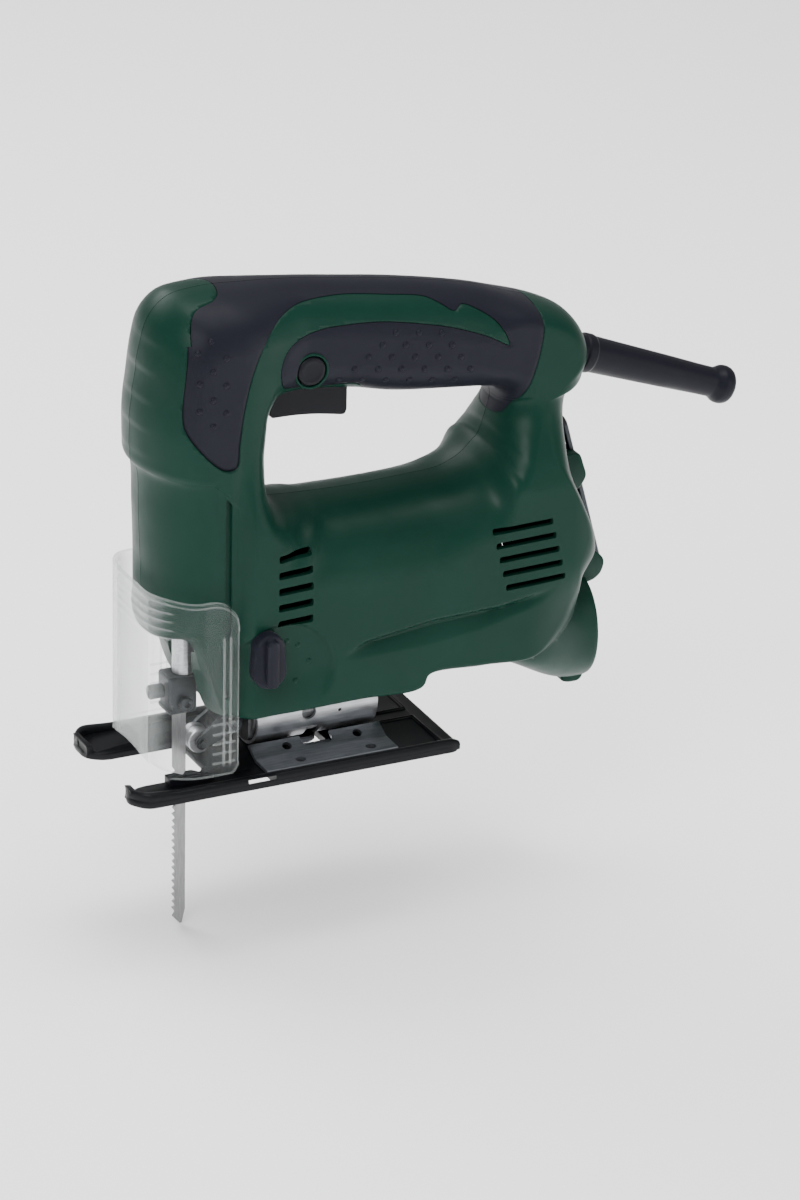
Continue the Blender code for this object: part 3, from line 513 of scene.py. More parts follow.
def relief(x, z):
    """How far the side stands proud of its plain shape: nose step, swoosh and knob recess."""
    nose = 1.0 * smooth(z - along_line(x, STEP_LINE), -0.6, 0.6) * (1 - smooth(x, -31, -24))
    nose = nose * (1 - smooth(z, 150, 185))
    top, low = along_line(x, SWOOSH_TOP), along_line(x, SWOOSH_LOW)
    tall = np.maximum(top - low, 0.01)
    hollow = np.clip((z - low) / tall, 0, 1) ** 1.3 * (1 - smooth(z - top, -0.6, 2.4))
    swoosh = -3.2 * hollow * np.clip(tall / 6, 0, 1) * smooth(x, 14, 30) * (1 - smooth(x, 96, 114))
    away = np.hypot(x + 9, z - 46.5)
    recess = -2.0 * (1 - smooth(away, 20.0, 22.6)) * smooth(z, 30, 48)
    recess = recess * smooth(x, -28, -24)
    return nose + swoosh + recess


LOOP = curve_through([(*o, *i, big, small) for big, small, pairs in RIB_GROUPS for o, i in pairs],
                     1.3)


# Points across a rib: on its inner rounding, on its flat side, on its outer rounding
OUTER_STEPS, INNER_STEPS = (14, 66, 16), (6, 14, 8)


def nose_steps(x, y, z):
    """Shallow overlapping finger steps down the front of the nose."""
    part = np.mod(z - 139.0, 11.5) / 11.5
    saw = (1 - part) * smooth(part, 0.0, 0.12)
    window = smooth(z, 138, 142) * (1 - smooth(z, 182, 190)) * (1 - smooth(np.abs(y), 10, 15))
    return 0.45 * saw * window * (1 - smooth(x, -50, -44))


def section(depth, counts, middle, lift=None):
    """Rows of points across every rib at a depth below the surface."""
    outer, inner = LOOP[:, 0:2], LOOP[:, 2:4]
    run = outer - inner
    length = np.linalg.norm(run, axis=1)
    run = run / length[:, None]
    big = np.minimum(LOOP[:, 4], length * 0.48)[:, None]
    small = np.minimum(LOOP[:, 5], length * 0.48)[:, None]
    length = length[:, None]
    first = np.radians(np.linspace(0, 90, counts[0]))[None, :]
    last = np.radians(np.linspace(90, 0, counts[2]))[None, :]
    flat = np.linspace(0, 1, counts[1] + 2)[1:-1][None, :]
    along = np.hstack([small * (1 - np.cos(first)), small + flat * (length - big - small),
                       length - big * (1 - np.cos(last))])
    ones = np.ones((len(LOOP), 1))
    share = np.hstack([np.sin(first) * ones, np.ones_like(flat) * ones, np.sin(last) * ones])
    x = inner[:, :1] + run[:, :1] * along
    z = inner[:, 1:] + run[:, 1:] * along
    pressed = depth + along * (length - 2 * depth) / length
    flat_x = inner[:, :1] + run[:, :1] * pressed
    flat_z = inner[:, 1:] + run[:, 1:] * pressed
    full = half_width(x, z) - depth
    if lift is not None:
        full = full + lift(x, z)
    y = middle + (full - middle) * share
    if lift is relief:
        flat_x = flat_x - nose_steps(flat_x, y, flat_z)
    return np.stack([flat_x, y, flat_z], axis=2)


def ring_shape(side, outside, inside, middle=GAP / 2, lift=None):
    """A shell between two depths below the surface, closed all round the hand opening."""
    skin = section(outside, OUTER_STEPS, middle, lift)
    back = section(inside, INNER_STEPS, middle)
    rows = np.concatenate([skin, back[:, ::-1]], axis=1)
    rows[:, :, 1] *= side
    count, width = rows.shape[:2]
    k, j = np.meshgrid(np.arange(count), np.arange(width), indexing="ij")
    following, beside = (k + 1) % count, (j + 1) % width
    faces = np.stack([k * width + j, k * width + beside, following * width + beside,
                      following * width + j], axis=2).reshape(-1, 4)
    return rows.reshape(-1, 3).tolist(), faces.tolist()


def grown(outline, distance):
    outline = np.array(outline, float)
    ahead = np.roll(outline, -1, axis=0) - np.roll(outline, 1, axis=0)
    ahead /= np.linalg.norm(ahead, axis=1)[:, None]
    x, z = outline.T
    turn = math.copysign(1, float(np.sum(x * np.roll(z, -1) - np.roll(x, -1) * z)))
    return (outline + np.column_stack([ahead[:, 1], -ahead[:, 0]]) * turn * distance).tolist()


GRIP_EDGE = curve_through(GRIP_OUTLINE, 1.0).tolist()


def nose_corner(side, shrink):
    """The front corner of the nose's top, which the soft grip leaves bare, seen from above."""
    outline = [(-80, -2), (-26.3, -2), (-26.6, 4), (-28.2, 9.5), (-31.5, 12.9), (-36, 14.2),
               (-40.2, 15.3), (-43.3, 18.2), (-45.5, 23), (-46.2, 28), (-46.4, 36), (-80, 36)]
    outline = grown(rounded(outline, 3, 5), -shrink)
    return prism([(x, side * y) for x, y in outline], "z", 188, 240)


def slot_shape(start, end, half_height, side):
    start, end = Vector(start), Vector(end)
    lean = (end - start).normalized() * half_height
    across = Vector((0, half_height))
    corners = [start - lean - across, end + lean - across, end + lean + across,
               start - lean + across]
    outline = rounded([tuple(c) for c in corners], 0.9, 4)
    return side_prism(outline, side, 24.5, 40)


def vent_slots(side):
    slots = []
    for row in range(5):
        z = 96.5 - 6.95 * row
        slots.append(slot_shape((-9.9, z - 0.1), (1.8, z + 0.4), 1.6, side))
        drift = 1.6 * row
        z = 92.5 - 6.25 * row
        slots.append(slot_shape((83.2 + drift, z - 0.2), (107.2 + drift, z + 0.5), 1.35, side))
    return merged(*slots)


SCREWS = [(-32, 122), (-20, 42), (74, 46), (120, 58), (106, 101), (116, 150), (50, 169)]


def wall_at(x, z):
    return float(half_width(np.array(x), np.array(z)))


def lock_bore():
    return prism(circle(LOCK, 6.4, 64), "y", -40, -8)


def screw_wells():
    wells = []
    for x, z in SCREWS:
        wall = wall_at(x, z)
        profile = [(0, wall - 9), (1.9, wall - 9), (1.9, wall - 2.4), (3.5, wall - 2.4),
                   (3.5, wall - 0.2), (4.1, wall + 0.5), (4.1, wall + 9), (0, wall + 9)]
        wells.append(turned(profile, "y", (x, z), 32))
    return merged(*wells)


RIM_START = 135.5
CORD_TURN = Matrix.Translation((131.0, 0, 151.3)) @ Matrix.Rotation(math.radians(20.5), 4, "Y")


def dust_port(side):
    """The rear dust port, swelling out of the housing's lower corner to a thick oval rim."""
    rows = []
    for x in list(np.linspace(80, 134, 28)) + [RIM_START, 136.8, 137.6, 138.0]:
        t = float(smooth(x, 84, 134))
        past = max(0.0, x - RIM_START) / 2.6
        rim = 0.9 * (1 - math.sqrt(max(0.0, 1 - past ** 2)))
        narrowing = float(smooth(x, 100, 137))
        ring = oval(mix(47, 31.2, t), mix(31.0, 19.9, narrowing) - rim, mix(17, 22.8, t) - rim,
                    mix(3.4, 2.1, t))
        rows.append([(x, y, z) for y, z in ring])
    port = new_object("port", lofted(rows))
    lug = rounded([(128, 16), (128, 8.0), (131, 6.9), (136, 6.9), (138, 9), (138, 16)], 1.5)
    tab = new_object("tab", prism(lug, "y", -7.5, 7.5))
    bevelled(tab, 1.2, 3, 50)
    boolean(port, applied(tab), "UNION")
    low, high = sorted((side * GAP / 2, side * 60))
    return boolean(port, box((60, low, 0), (200, high, 90)), "INTERSECT")


def clip_and_hook(side):
    clip = rounded([(119, 109), (134, 108), (137.5, 97.5), (134, 92), (122, 91)], 2.2)
    hook = rounded([(128, 65.5), (141, 65), (147.2, 59), (145.5, 53), (141, 50), (130, 50)], 3)
    shape = new_object("clips", merged(*(side_prism(outline, side, GAP / 2, 6.2)
                                         for outline in (clip, hook))))
    bevelled(shape, 0.9, 3, 40)
    return applied(shape)


def wrench_slot():
    outline = [(129.8, 112), (165, 112), (165, 56.7), (144.4, 56.7)]
    return prism(outline, "y", -1.9, 1.9)


def housing(side, name, node):
    """One half of the shell, with every opening that the pieces in it need."""
    half = new_object(name, ring_shape(side, 0, WALL, lift=relief), GREEN)
    boolean(half, dust_port(side), "UNION")
    boolean(half, clip_and_hook(side), "UNION")
    bore = [(0, 100), (11, 101), (15, 112), (16.5, 118), (16.5, 137), (17.4, 138), (17.4, 150),
            (0, 150)]
    cut(half, turned(bore, "x", (0, 27.7), 72))
    mouth = [(-39.5, 21), (-45, 18.5), (-49, 12), (-50.5, 5)]
    mouth += [(x, -y) for x, y in reversed(mouth)]
    cut(half, prism(mouth, "z", 40, 66))
    cut(half, box((-52, -11.5, 20), (-28.5, 11.5, 60)))
    cut(half, box((-14.3, -14.9, 15), (43, 14.9, 34)))
    cut(half, vent_slots(side))
    cut(half, box((-5.5, -8.5, 148), (31, 8.5, 161)))
    cut(half, wrench_slot())
    cut(half, moved(prism(circle((0, 0), 7.8, 48), "x", -14, 14), CORD_TURN))
    groove = rounded([(-32.4, 124), (-29.6, 121), (-29.6, 38), (-32.4, 38)], 1.0)
    cut(half, side_prism(groove, side, 26.4, 40))
    line = rounded([(-26.6, 116), (-25.8, 114), (-25.8, 30), (-26.6, 30)], 0.3)
    cut(half, side_prism(line, side, 30.6, 40))
    layer = new_object("layer", ring_shape(side, -2.5, SKIN + 0.25, middle=-1))
    boolean(layer, side_prism(grown(GRIP_EDGE, 0.3), side, -1, 60), "INTERSECT")
    cut(layer, nose_corner(side, 0.3))
    cut(half, layer)
    if side < 0:
        cut(half, lock_bore())
        cut(half, prism(circle(KNOB, 4.3, 48), "y", -40, -20))
        dots = ((-7, 60.2), (-2.2, 57.6), (2.6, 50), (-3.3, 42.6))
        join_islands(half, merged(*studs(half, dots, side, 1.1, 0.5)))
    else:
        cut(half, screw_wells())
    finished(shade(half, 32), "housing", "green_plastic", node)


def studs(obj, places, side, radius=1.3, height=0.75):
    """Small domes that stand square to the surface, their feet just under it."""
    surface = BVHTree.FromObject(obj, bpy.context.evaluated_depsgraph_get())
    profile = [(0, height)]
    for t in (0.35, 0.65, 0.88, 1.0):
        profile.append((radius * t, height * math.sqrt(1 - t * t)))
    profile += [(radius * 1.15, -0.4), (0, -0.5)]
    dome = turned(profile, "z", (0, 0), 18)
    made = []
    for x, z in places:
        start = Vector((x, side * 60, z)) * MM
        hit, normal, _, _ = surface.ray_cast(start, Vector((0, -side, 0)))
        if hit is None:
            continue
        turn = normal.to_track_quat("Z", "Y").to_matrix().to_4x4()
        made.append(moved(dome, Matrix.Translation(hit / MM) @ turn))
    return made


def join_islands(obj, shape):
    """Adds separate closed pieces to an object's mesh."""
    extra = new_object("extra", shape)
    work = bmesh.new()
    work.from_mesh(obj.data)
    work.from_mesh(extra.data)
    work.to_mesh(obj.data)
    work.free()
    bpy.data.objects.remove(extra)


def crown(x, z):
    """The soft grip stands a little proud, and rolls over at its edge."""
    inside = -side_distance(x, z, GRIP_EDGE)
    return 0.25 - 0.5 * (1 - smooth(inside, -0.2, 2.0)) ** 2


def grip(side, name, node):
    """Soft pad let into one half, with rows of small domes."""
    pad = new_object(name, ring_shape(side, 0, SKIN, lift=crown), SOFT)
    boolean(pad, side_prism(GRIP_EDGE, side, 0, 60), "INTERSECT")
    cut(pad, nose_corner(side, 0))
    places = [(-38.5, z) for z in (190, 178.4, 166.6, 155.6)]
    places += [(-44, z) for z in (185.9, 173.9, 162.6)]
    places += [(-33, z) for z in (183.1, 171.9, 160.3)]
    for row in range(5):
        for k in range(3 + row - (row == 4)):
            places.append((43.4 - 5.9 * row + 10.1 * k, 178.9 - 4.15 * row - 1.55 * k))
    domes = studs(pad, places, side)
    if side < 0:
        cut(pad, lock_bore())
    else:
        cut(pad, screw_wells())
    join_islands(pad, merged(*domes))
    finished(shade(pad, 40), "housing", "soft_grip", node)


for side, hand in ((-1, "left"), (1, "right")):
    housing(side, "shell_" + hand, "housing_" + hand)
    grip(side, "soft_" + hand, "grip_" + hand)


# Controls ---------------------------------------------------------------------------------


def lock_button():
    """Domed button with a soft rim and a shallow dish."""
    profile = [(0, -21.0), (3.2, -21.15), (4.7, -21.4), (5.7, -21.0), (6.0, -20.2), (6.0, -15.2),
               (3, -15.2), (3, -12), (0, -12)]
    button = new_object("lock_cap", turned(softened(profile, 0.5), "y", LOCK, 72), BLACK)
    finished(shade(button, 50), "lock", "black_plastic", "lock_button")
    rim = [(6.35, -19.2), (6.4, -20.8), (6.8, -21.2), (7.3, -20.9), (7.6, -19.2)]
    ring = new_object("lock_ring", turned(softened(rim, 0.2), "y", LOCK, 72, ring=True), GREEN)
    finished(shade(ring, 60), "housing", "green_plastic")


def trigger():
    """Finger lever with a scooped face and rounded sides."""
    outline = [(-4.8, 158), (-4.8, 146.6)]
    for t in np.linspace(0, 1, 18):
        x = mix(-3.8, 25.6, t)
        outline.append((x, 145.6 - 2.9 * t + 0.9 * math.sin(math.pi * t)))
    outline += [(27.6, 142.6), (28.4, 144.4), (28.4, 158)]
    lever = new_object("finger_trigger", prism(rounded(outline, 0.8, 2), "y", -8, 8), BLACK)
    bevelled(lever, 1.6, 5, 50)
    finished(shade(lever, 50), "trigger", "black_plastic", "trigger")


def selector_knob():
    """Oblong dial with a raised finger bar."""
    def oblong(low_r, high_r, steps=14):
        return arc((KNOB[0], KNOB[1] + 5), high_r, 0, 180, steps) + \
            arc((KNOB[0], KNOB[1] - 5), low_r, 180, 360, steps)

    dial = new_object("selector_dial", prism(oblong(7.0, 6.2), "y", -38.6, -31.3), SOFT)
    bevelled(dial, 1.4, 4, 50)
    applied(dial)
    bar = rounded(rectangle((KNOB[0] - 2.5, KNOB[1] - 10.6), (KNOB[0] + 2.5, KNOB[1] + 9.8)), 2.3)
    ridge = new_object("ridge", prism(bar, "y", -41.5, -36))
    bevelled(ridge, 1.1, 4, 50)
    boolean(dial, applied(ridge), "UNION")
    boolean(dial, prism(circle(KNOB, 4.0, 32), "y", -35, -23), "UNION")
    finished(shade(dial, 40), "selector", "black_plastic", "selector_knob")


def cord_guard():
    """Tapered strain relief ending in a bulb."""
    profile = [(9.0, -8.5), (9.0, -6), (7.4, -5.5), (7.4, 4.6), (8.0, 5.1), (8.05, 8.4), (7.5, 9.2),
               (7.2, 22), (6.7, 45), (6.2, 62), (6.1, 69), (6.9, 70.8), (7.8, 72.4), (8.0, 74.2),
               (7.7, 76.0), (6.9, 77.3), (5.6, 77.8), (3.4, 77.8), (3.4, -8.5)]
    guard = new_object("cord_sleeve", moved(turned(softened(profile, 0.7), "x", (0, 0), 56,
                                                   ring=True), CORD_TURN), CORD)
    finished(shade(guard, 40), "housing", "black_plastic", "cord_guard")


def hex_wrench():
    """Bent hexagonal key that lies in the clip and hook."""
    low, top = Vector((146.4, 0, 57.3)), Vector((128.8, 0, 121))
    down = (low - top).normalized()
    bend = 3.0
    path = [low.copy(), low.lerp(top, 0.02)]
    for angle in np.linspace(0, 90, 9):
        a = math.radians(angle)
        path.append(top + down * bend * (1 - math.sin(a))
                    + Vector((0, bend * (1 - math.cos(a)), 0)))
    path += [top + Vector((0, 14.6, 0)), top + Vector((0, 15, 0))]
    side = Vector((0, 1, 0)).cross(down).normalized()
    rows = []
    last = len(path) - 1
    for i, point in enumerate(path):
        ahead = (path[min(i + 1, last)] - path[max(i - 1, 0)]).normalized()
        lift = side.cross(ahead).normalized()
        radius = 1.5 if 0 < i < last else 1.1
        corners = [math.radians(60 * j) for j in range(6)]
        rows.append([tuple(point + (side * math.cos(a) + lift * math.sin(a)) * radius)
                     for a in corners])
    key = new_object("clip_wrench", lofted(rows), DARK)
    bevelled(key, 0.22, 2, 40)
    finished(shade(key, 40), "wrench", "dark_steel", "hex_wrench")


# Guard ------------------------------------------------------------------------------------


def dust_guard():
    """Clear U-shaped cover with a rounded rear corner, moulded ribs and a thick rim."""
    half, thick, front, rear, corner = 31.3, 1.4, -61.5, -27.6, 20.0
    low = 7.0
    plan = [(rear - t, -half) for t in np.linspace(0, rear - front - corner, 26)[:-1]]
    plan += arc((front + corner, -half + corner), corner, 270, 180, 34)
    plan += [(front, y) for y in np.linspace(-half + corner, half - corner, 22)[1:-1]]
    plan += arc((front + corner, half - corner), corner, 180, 90, 34)
    plan += [(rear - t, half) for t in np.linspace(rear - front - corner, 0, 26)[1:]]
    plan = np.array(plan)
    tangent = np.gradient(plan, axis=0)
    tangent /= np.linalg.norm(tangent, axis=1)[:, None]
    out = np.column_stack([tangent[:, 1], -tangent[:, 0]])
    out *= np.sign(np.sum(out * (plan - np.array([front + corner, 0])), axis=1))[:, None]
    x, y = plan.T
    from_rear = np.clip(x - rear + 12, 0, 12)
    top = 82.0 + 2.0 * smooth(-x, 44, 60) - (12 - np.sqrt(np.maximum(144 - from_rear ** 2, 0)))
    bottom = low + 3.0 * smooth(x, rear - 3.4, rear) ** 2
    heights = np.linspace(0, 1, 150)[None, :]
    z = bottom[:, None] + (top - bottom)[:, None] * heights
    wide = x[:, None] + 0 * z

    def line(value, middle, width):
        return 1 - smooth(np.abs(value - middle), width * 0.5, width)

    proud = 0.55 * line(z, bottom[:, None] + 0.7, 1.5) + 0.5 * line(z, top[:, None] - 0.7, 1.3)
    for rung in range(4):
        height = 79.0 - 3.6 * rung
        bar = line(z, height, 0.9) * (wide < -50) * (np.abs(y) < 27)[:, None]
        proud = np.maximum(proud, 0.5 * bar)
    for middle in (-17.5, 17.5):
        nose_rib = line(y[:, None] + 0 * z, middle, 0.9) * (wide < -45)
        proud = np.maximum(proud, 0.5 * nose_rib)
    rows = []
    for offset in (proud, -thick + 0 * proud):
        rows.append(np.stack([wide + out[:, :1] * (offset - 0.1), y[:, None]
                              + out[:, 1:] * (offset - 0.1), z], axis=2))
    columns = z.shape[1]
    skin = np.concatenate([rows[0], rows[1][:, ::-1]], axis=1)
    count, width = skin.shape[:2]
    k, j = np.meshgrid(np.arange(count - 1), np.arange(width), indexing="ij")
    beside = (j + 1) % width
    faces = np.stack([k * width + j, k * width + beside, (k + 1) * width + beside,
                      (k + 1) * width + j], axis=2).reshape(-1, 4).tolist()
    for end in (0, count - 1):
        for c in range(columns - 1):
            quad = [end * width + c, end * width + c + 1, end * width + width - 2 - c,
                    end * width + width - 1 - c]
            faces.append(quad if end == 0 else quad[::-1])
    cover = new_object("guard_shield", (skin.reshape(-1, 3).tolist(), faces), CLEAR)
    arch = [(-26, 0)] + [(y, 8.5 + 5.0 * math.cos(math.pi * y / 60)) for y in
                         np.linspace(-26, 26, 40)] + [(26, 0)]
    cut(cover, prism(arch, "x", -70, -48))
    for side in (-1, 1):
        near, far = sorted((side * (half - 0.5), side * (half + 0.45)))
        ribs = [box((rear - 3.9, near, 11), (rear - 3.3, far, 66)),
                box((rear - 6.7, near, 11), (rear - 6.1, far, 66))]
        ribs += [box((rear - 11, near, 12.2 + 4.2 * k), (rear - 1.6, far, 12.8 + 4.2 * k))
                 for k in range(5)]
        join_islands(cover, merged(*ribs))
    finished(shade(cover, 50), "guard", "clear_plastic", "dust_guard")


# Base -------------------------------------------------------------------------------------

FRONT, REAR, HALF, SHEET = -73.6, 68.5, 36.0, 3.0
BEVEL_Z, TROUGH_R, TROUGH_WALL = 18.0, 14.0, 1.4
TROUGH_FRONT, TROUGH_REAR, BOLT_X = -11.5, 41.5, 14.0


def bolt_window(near, top):
    outline = rounded(rectangle((BOLT_X - 6.6, near), (BOLT_X + 6.6, 7)), 3)
    return prism(outline, "z", -3, top)


def rail(sign):
    """Rounded side rail whose front end rises into a turned-up tip."""
    xs = np.linspace(FRONT + 0.3, REAR - 0.2, 90)
    rows = []
    for x in xs:
        nose = max(0.0, 1 - (x - xs[0]) / 9.0)
        tail = max(0.0, 1 - (xs[-1] - x) / 4.0)
        y = HALF - 2.1 - 7.5 * nose ** 2.4
        top = 5.3 + 1.1 * smooth(-x, 52, 70) - 1.2 * tail ** 2
        width = 2.0 - 0.5 * tail ** 2
        ring = oval((top + 0.5) / 2, width, (top - 0.5) / 2, 3.2, 20)
        rows.append([(x, sign * (y + across), z) for across, z in ring])
    return new_object("rail", lofted(rows))


def base_plate():
    near, far, notch = -20.0, 12.0, -34.5
    outline = rounded([(FRONT + 5, -HALF), (REAR, -HALF), (REAR, HALF), (FRONT + 5, HALF),
                       (FRONT, HALF - 7), (FRONT, far + 5), (FRONT + 7, far), (notch, far),
                       (notch, near), (FRONT + 7, near), (FRONT, near - 5), (FRONT, -HALF + 7)],
                      4.5, 8)
    plate = new_object("sole_plate", prism(outline, "z", 0, SHEET), COATED)
    bevelled(plate, 0.7, 3, 50)
    applied(plate)
    for low, high in ((far + 3.5, HALF - 7), (-HALF + 7, near - 3.5)):
        lip = []
        for t in np.linspace(0, 1, 9):
            lip.append((FRONT + 0.2 + 0.5 * math.sin(math.pi * t), 1.0 + 5.6 * t))
        lip += [(FRONT + 3.0, 6.2), (FRONT + 3.6, 3.6), (FRONT + 6.5, 2.6), (FRONT + 6.5, 1.0)]
        turned_up = new_object("lip", prism(rounded(lip, 0.6, 3), "y", low, high))
        bevelled(turned_up, 1.1, 3, 50)
        boolean(plate, applied(turned_up), "UNION")
    for sign in (-1, 1):
        boolean(plate, rail(sign), "UNION")
        ridge = [(46.5, 3.4), (46.5, 4.9), (61.0, 4.9), (61.0, 30), (62.6, 30), (62.6, 3.4)]
        line = new_object("ridge", prism([(x, sign * y) for x, y in ridge], "z", 2.0, 3.9))
        bevelled(line, 0.6, 3, 50)
        boolean(plate, applied(line), "UNION")
        strip = prism(rounded(rectangle((-27, sign * 23.5 - 1.0), (-19, sign * 23.5 + 1.0)), 0.9),
                      "z", 2.0, 3.9)
        boolean(plate, strip, "UNION")
    for sign in (-1, 1):
        slot = [(-38.5, 6.1), (-38.5, 4.4), (-25, -2.3), (-25, -0.6)]
        cut(plate, prism([(sign * -y, z) for y, z in slot], "x", -25, -13))
    cut(plate, bolt_window(-11.4, SHEET + 4))
    bevelled(plate, 0.12, 2, 60)
    finished(shade(plate, 40), "base", "black_coated_steel", "base_plate")


def base_bracket():
    """Folded plate: flat feet on the sole, sloped webs up to the trough."""
    low, thick = SHEET + GAP, 1.5
    section_line = []
    for y, z in ((-31, 0), (-19.2, 0), (-11.5, 3.7)):
        section_line.append((y, low + z))
    upper = [(-12.2, low + 5.1), (-19.6, low + thick), (-31, low + thick)]
    near = rounded(section_line + upper, 0.9, 5)
    bracket = new_object("folded_bracket", prism(near, "x", -14.8, 42.8), BRACKET)
    join_islands(bracket, prism([(-y, z) for y, z in near], "x", -14.8, 42.8))
    holes = []
    for sign in (-1, 1):
        for x in (0.5, 31.5):
            tilt = Matrix.Translation((x, sign * 15.6, low + 2.6))
            tilt = tilt @ Matrix.Rotation(math.radians(-26 * sign), 4, "X")
            holes.append(moved(prism(circle((0, 0), 1.9, 28), "z", -6, 6), tilt))
        for x in (2, 33):
            holes.append(prism(circle((x, sign * 26), 2.2, 28), "z", 0, 12))
    cut(bracket, merged(*holes))
    cut(bracket, bolt_window(-17.6, SHEET + 7))
    join_islands(bracket, box((7.6, -18.4, low), (20.4, -13.1, low + thick)))
    bevelled(bracket, 0.18, 2, 40)
    finished(shade(bracket, 35), "base", "dark_steel", "base_bracket")


def trough():
    """Half-round steel rail that the base tilts on."""
    outer = arc((0, BEVEL_Z), TROUGH_R, 154, 386, 96)
    inner = arc((0, BEVEL_Z), TROUGH_R - TROUGH_WALL, 386, 154, 96)
    half = new_object("tilt_rail", prism(outer + inner, "x", TROUGH_FRONT, TROUGH_REAR), SATIN)
    slot = arc((0, BEVEL_Z), TROUGH_R + 3, 208, 284, 24)
    slot += arc((0, BEVEL_Z), TROUGH_R - TROUGH_WALL - 2, 284, 208, 24)
    cut(half, prism(slot, "x", BOLT_X - 3.2, BOLT_X + 3.2))
    notch = prism(circle((11.0, BEVEL_Z + 0.6), 3.1, 40), "y", -20, -8)
    cut(half, notch)
    cut(half, prism(circle((24.6, 17.3), 0.7, 24), "y", -20, -8))
    bevelled(half, 0.25, 2, 40)
    finished(shade(half, 35), "base", "bright_steel", "bevel_trough")


def rivets():
    shapes = []
    for x in (2, 33):
        for y in (-26, 26):
            profile = [(0, 3.3), (1.9, 3.3), (1.9, 3.9), (1.2, 4.2), (0, 4.25)]
            shapes.append(turned(softened(profile, 0.25), "z", (x, y), 28))
    heads = new_object("bracket_rivets", merged(*shapes), DARK)
    finished(shade(heads, 45), "base", "bright_steel", *("base_rivet_%d" % n for n in (1, 2, 3, 4)))


def splinter_insert():
    outline = [(-55, -27), (-36, -27), (-36, -20.6), (-38.6, -20.6), (-41, -23.6), (-43.4, -20.6),
               (-46, -20.6), (-48.3, -23.6), (-50.6, -20.6), (-55, -20.6)]
    insert = new_object("chip_insert", prism(rounded(outline, 0.6, 3), "z", SHEET + GAP, 6.4),
                        BLACK)
    cut(insert, prism(rounded(rectangle((-53, -26), (-38, -24.6)), 0.5), "z", 5.4, 8))
    bevelled(insert, 0.35, 3, 40)
    finished(shade(insert, 40), "base", "black_plastic", "splinter_insert")


# Blade ------------------------------------------------------------------------------------

BLADE_X = -39.8


def blade_clamp():
    """Clamp block with a socket screw in front and a saddle for the blade's shank."""
    block = rounded([(-46.5, -6), (-34.3, -6), (-34.3, 6), (-46.5, 6)], 1.5, 5)
    clamp = new_object("clamp_block", prism(block, "z", 24, 39.7), DARK)
    bevelled(clamp, 0.8, 3, 50)
    applied(clamp)
    cut(clamp, box((BLADE_X - 3.2, -0.95, 20), (BLADE_X + 3.2, 0.95, 37.3)))
    waist = rounded([(-48, 25.6), (-45.2, 25.6), (-45.2, 28.4), (-48, 28.4)], 0.6)
    cut(clamp, prism(waist, "y", -8, 8))
    finished(shade(clamp, 40), "plunger", "dark_steel", "blade_clamp")
    heads = (("front_screw", "clamp_screw_front", "x", (0, 33), (-53, -46.8), 3.0),
             ("side_screw", "clamp_screw_side", "y", (-40, 29), (-9.4, -6.3), 2.9))
    for name, node, axis, centre, (face, foot), radius in heads:
        profile = [(0, face), (radius - 0.5, face), (radius, face + 0.5), (radius, foot - 0.4),
                   (radius - 0.3, foot), (0, foot)]
        head = new_object(name, turned(softened(profile, 0.2), axis, centre, 48), DARK)
        socket = prism(circle(centre, 1.5, 6), axis, face - 2, face + 2.2)
        cut(head, socket)
        finished(shade(head, 35), "plunger", "bright_steel", node)


def saw_blade():
    """Milled blade with teeth set to alternate sides and a bevelled point."""
    front, back = BLADE_X - 2.9, BLADE_X + 2.9
    pitch, teeth = 3.0, 22
    outline, tips = [(back, 37), (front + 0.7, 37), (front, 36.2)], []
    for i in range(teeth):
        z = -1.5 - pitch * i
        tips.append(len(outline))
        outline += [(front, z), (front + 1.3, z - pitch * 0.62), (front + 1.35, z - pitch * 0.8)]
    outline += [(front + 0.4, -68.5), (back - 2.4, -72), (back - 1.4, -72), (back, -66)]
    half = 0.52
    verts, faces = prism(outline, "y", -half, half)
    count = len(outline)
    for n, tip in enumerate(tips):
        lean = 0.26 if n % 2 else -0.26
        for index in (tip, tip + count):
            vx, vy, vz = verts[index]
            verts[index] = (vx, vy * 0.45 + lean, vz)
    blade = new_object("toothed_blade", (verts, faces), BLADE)
    finished(blade, "plunger", "bright_steel", "saw_blade")


def guide_roller():
    """Grooved roller behind the blade, in its forked arm."""
    profile = [(4.9, -4), (5.2, -3.7), (5.2, -1.4), (4.7, -0.95), (4.7, 0.95), (5.2, 1.4),
               (5.2, 3.7), (4.9, 4), (1.7, 4), (1.7, -4)]
    roller = new_object("grooved_roller", turned(profile, "y", (-31.9, 9.5), 64, ring=True), SATIN)
    finished(shade(roller, 40), "roller", "bright_steel", "guide_roller")


def housing_screws():
    """Cross-recess heads at the bottom of the wells on the right half."""
    shapes = []
    for x, z in SCREWS:
        wall = wall_at(x, z)
        profile = [(0, wall - 2.3), (2.7, wall - 2.3), (3.1, wall - 2.0), (3.0, wall - 1.3),
                   (2.2, wall - 0.6), (0, wall - 0.35)]
        shapes.append(turned(softened(profile, 0.25), "y", (x, z), 36))
    heads = new_object("case_screws", merged(*shapes), BRIGHT)
    crosses = []
    for x, z in SCREWS:
        wall = wall_at(x, z)
        wide = [(-1.6, -0.35), (-0.35, -0.35), (-0.35, -1.6), (0.35, -1.6), (0.35, -0.35),
                (1.6, -0.35), (1.6, 0.35), (0.35, 0.35), (0.35, 1.6), (-0.35, 1.6),
                (-0.35, 0.35), (-1.6, 0.35)]
        crosses.append(prism([(x + a, z + b) for a, b in wide], "y", wall - 1.5, wall + 2))
    cut(heads, merged(*crosses))
    finished(shade(heads, 40), "housing", "bright_steel",
             *("housing_screw_%d" % n for n in range(1, len(SCREWS) + 1)))


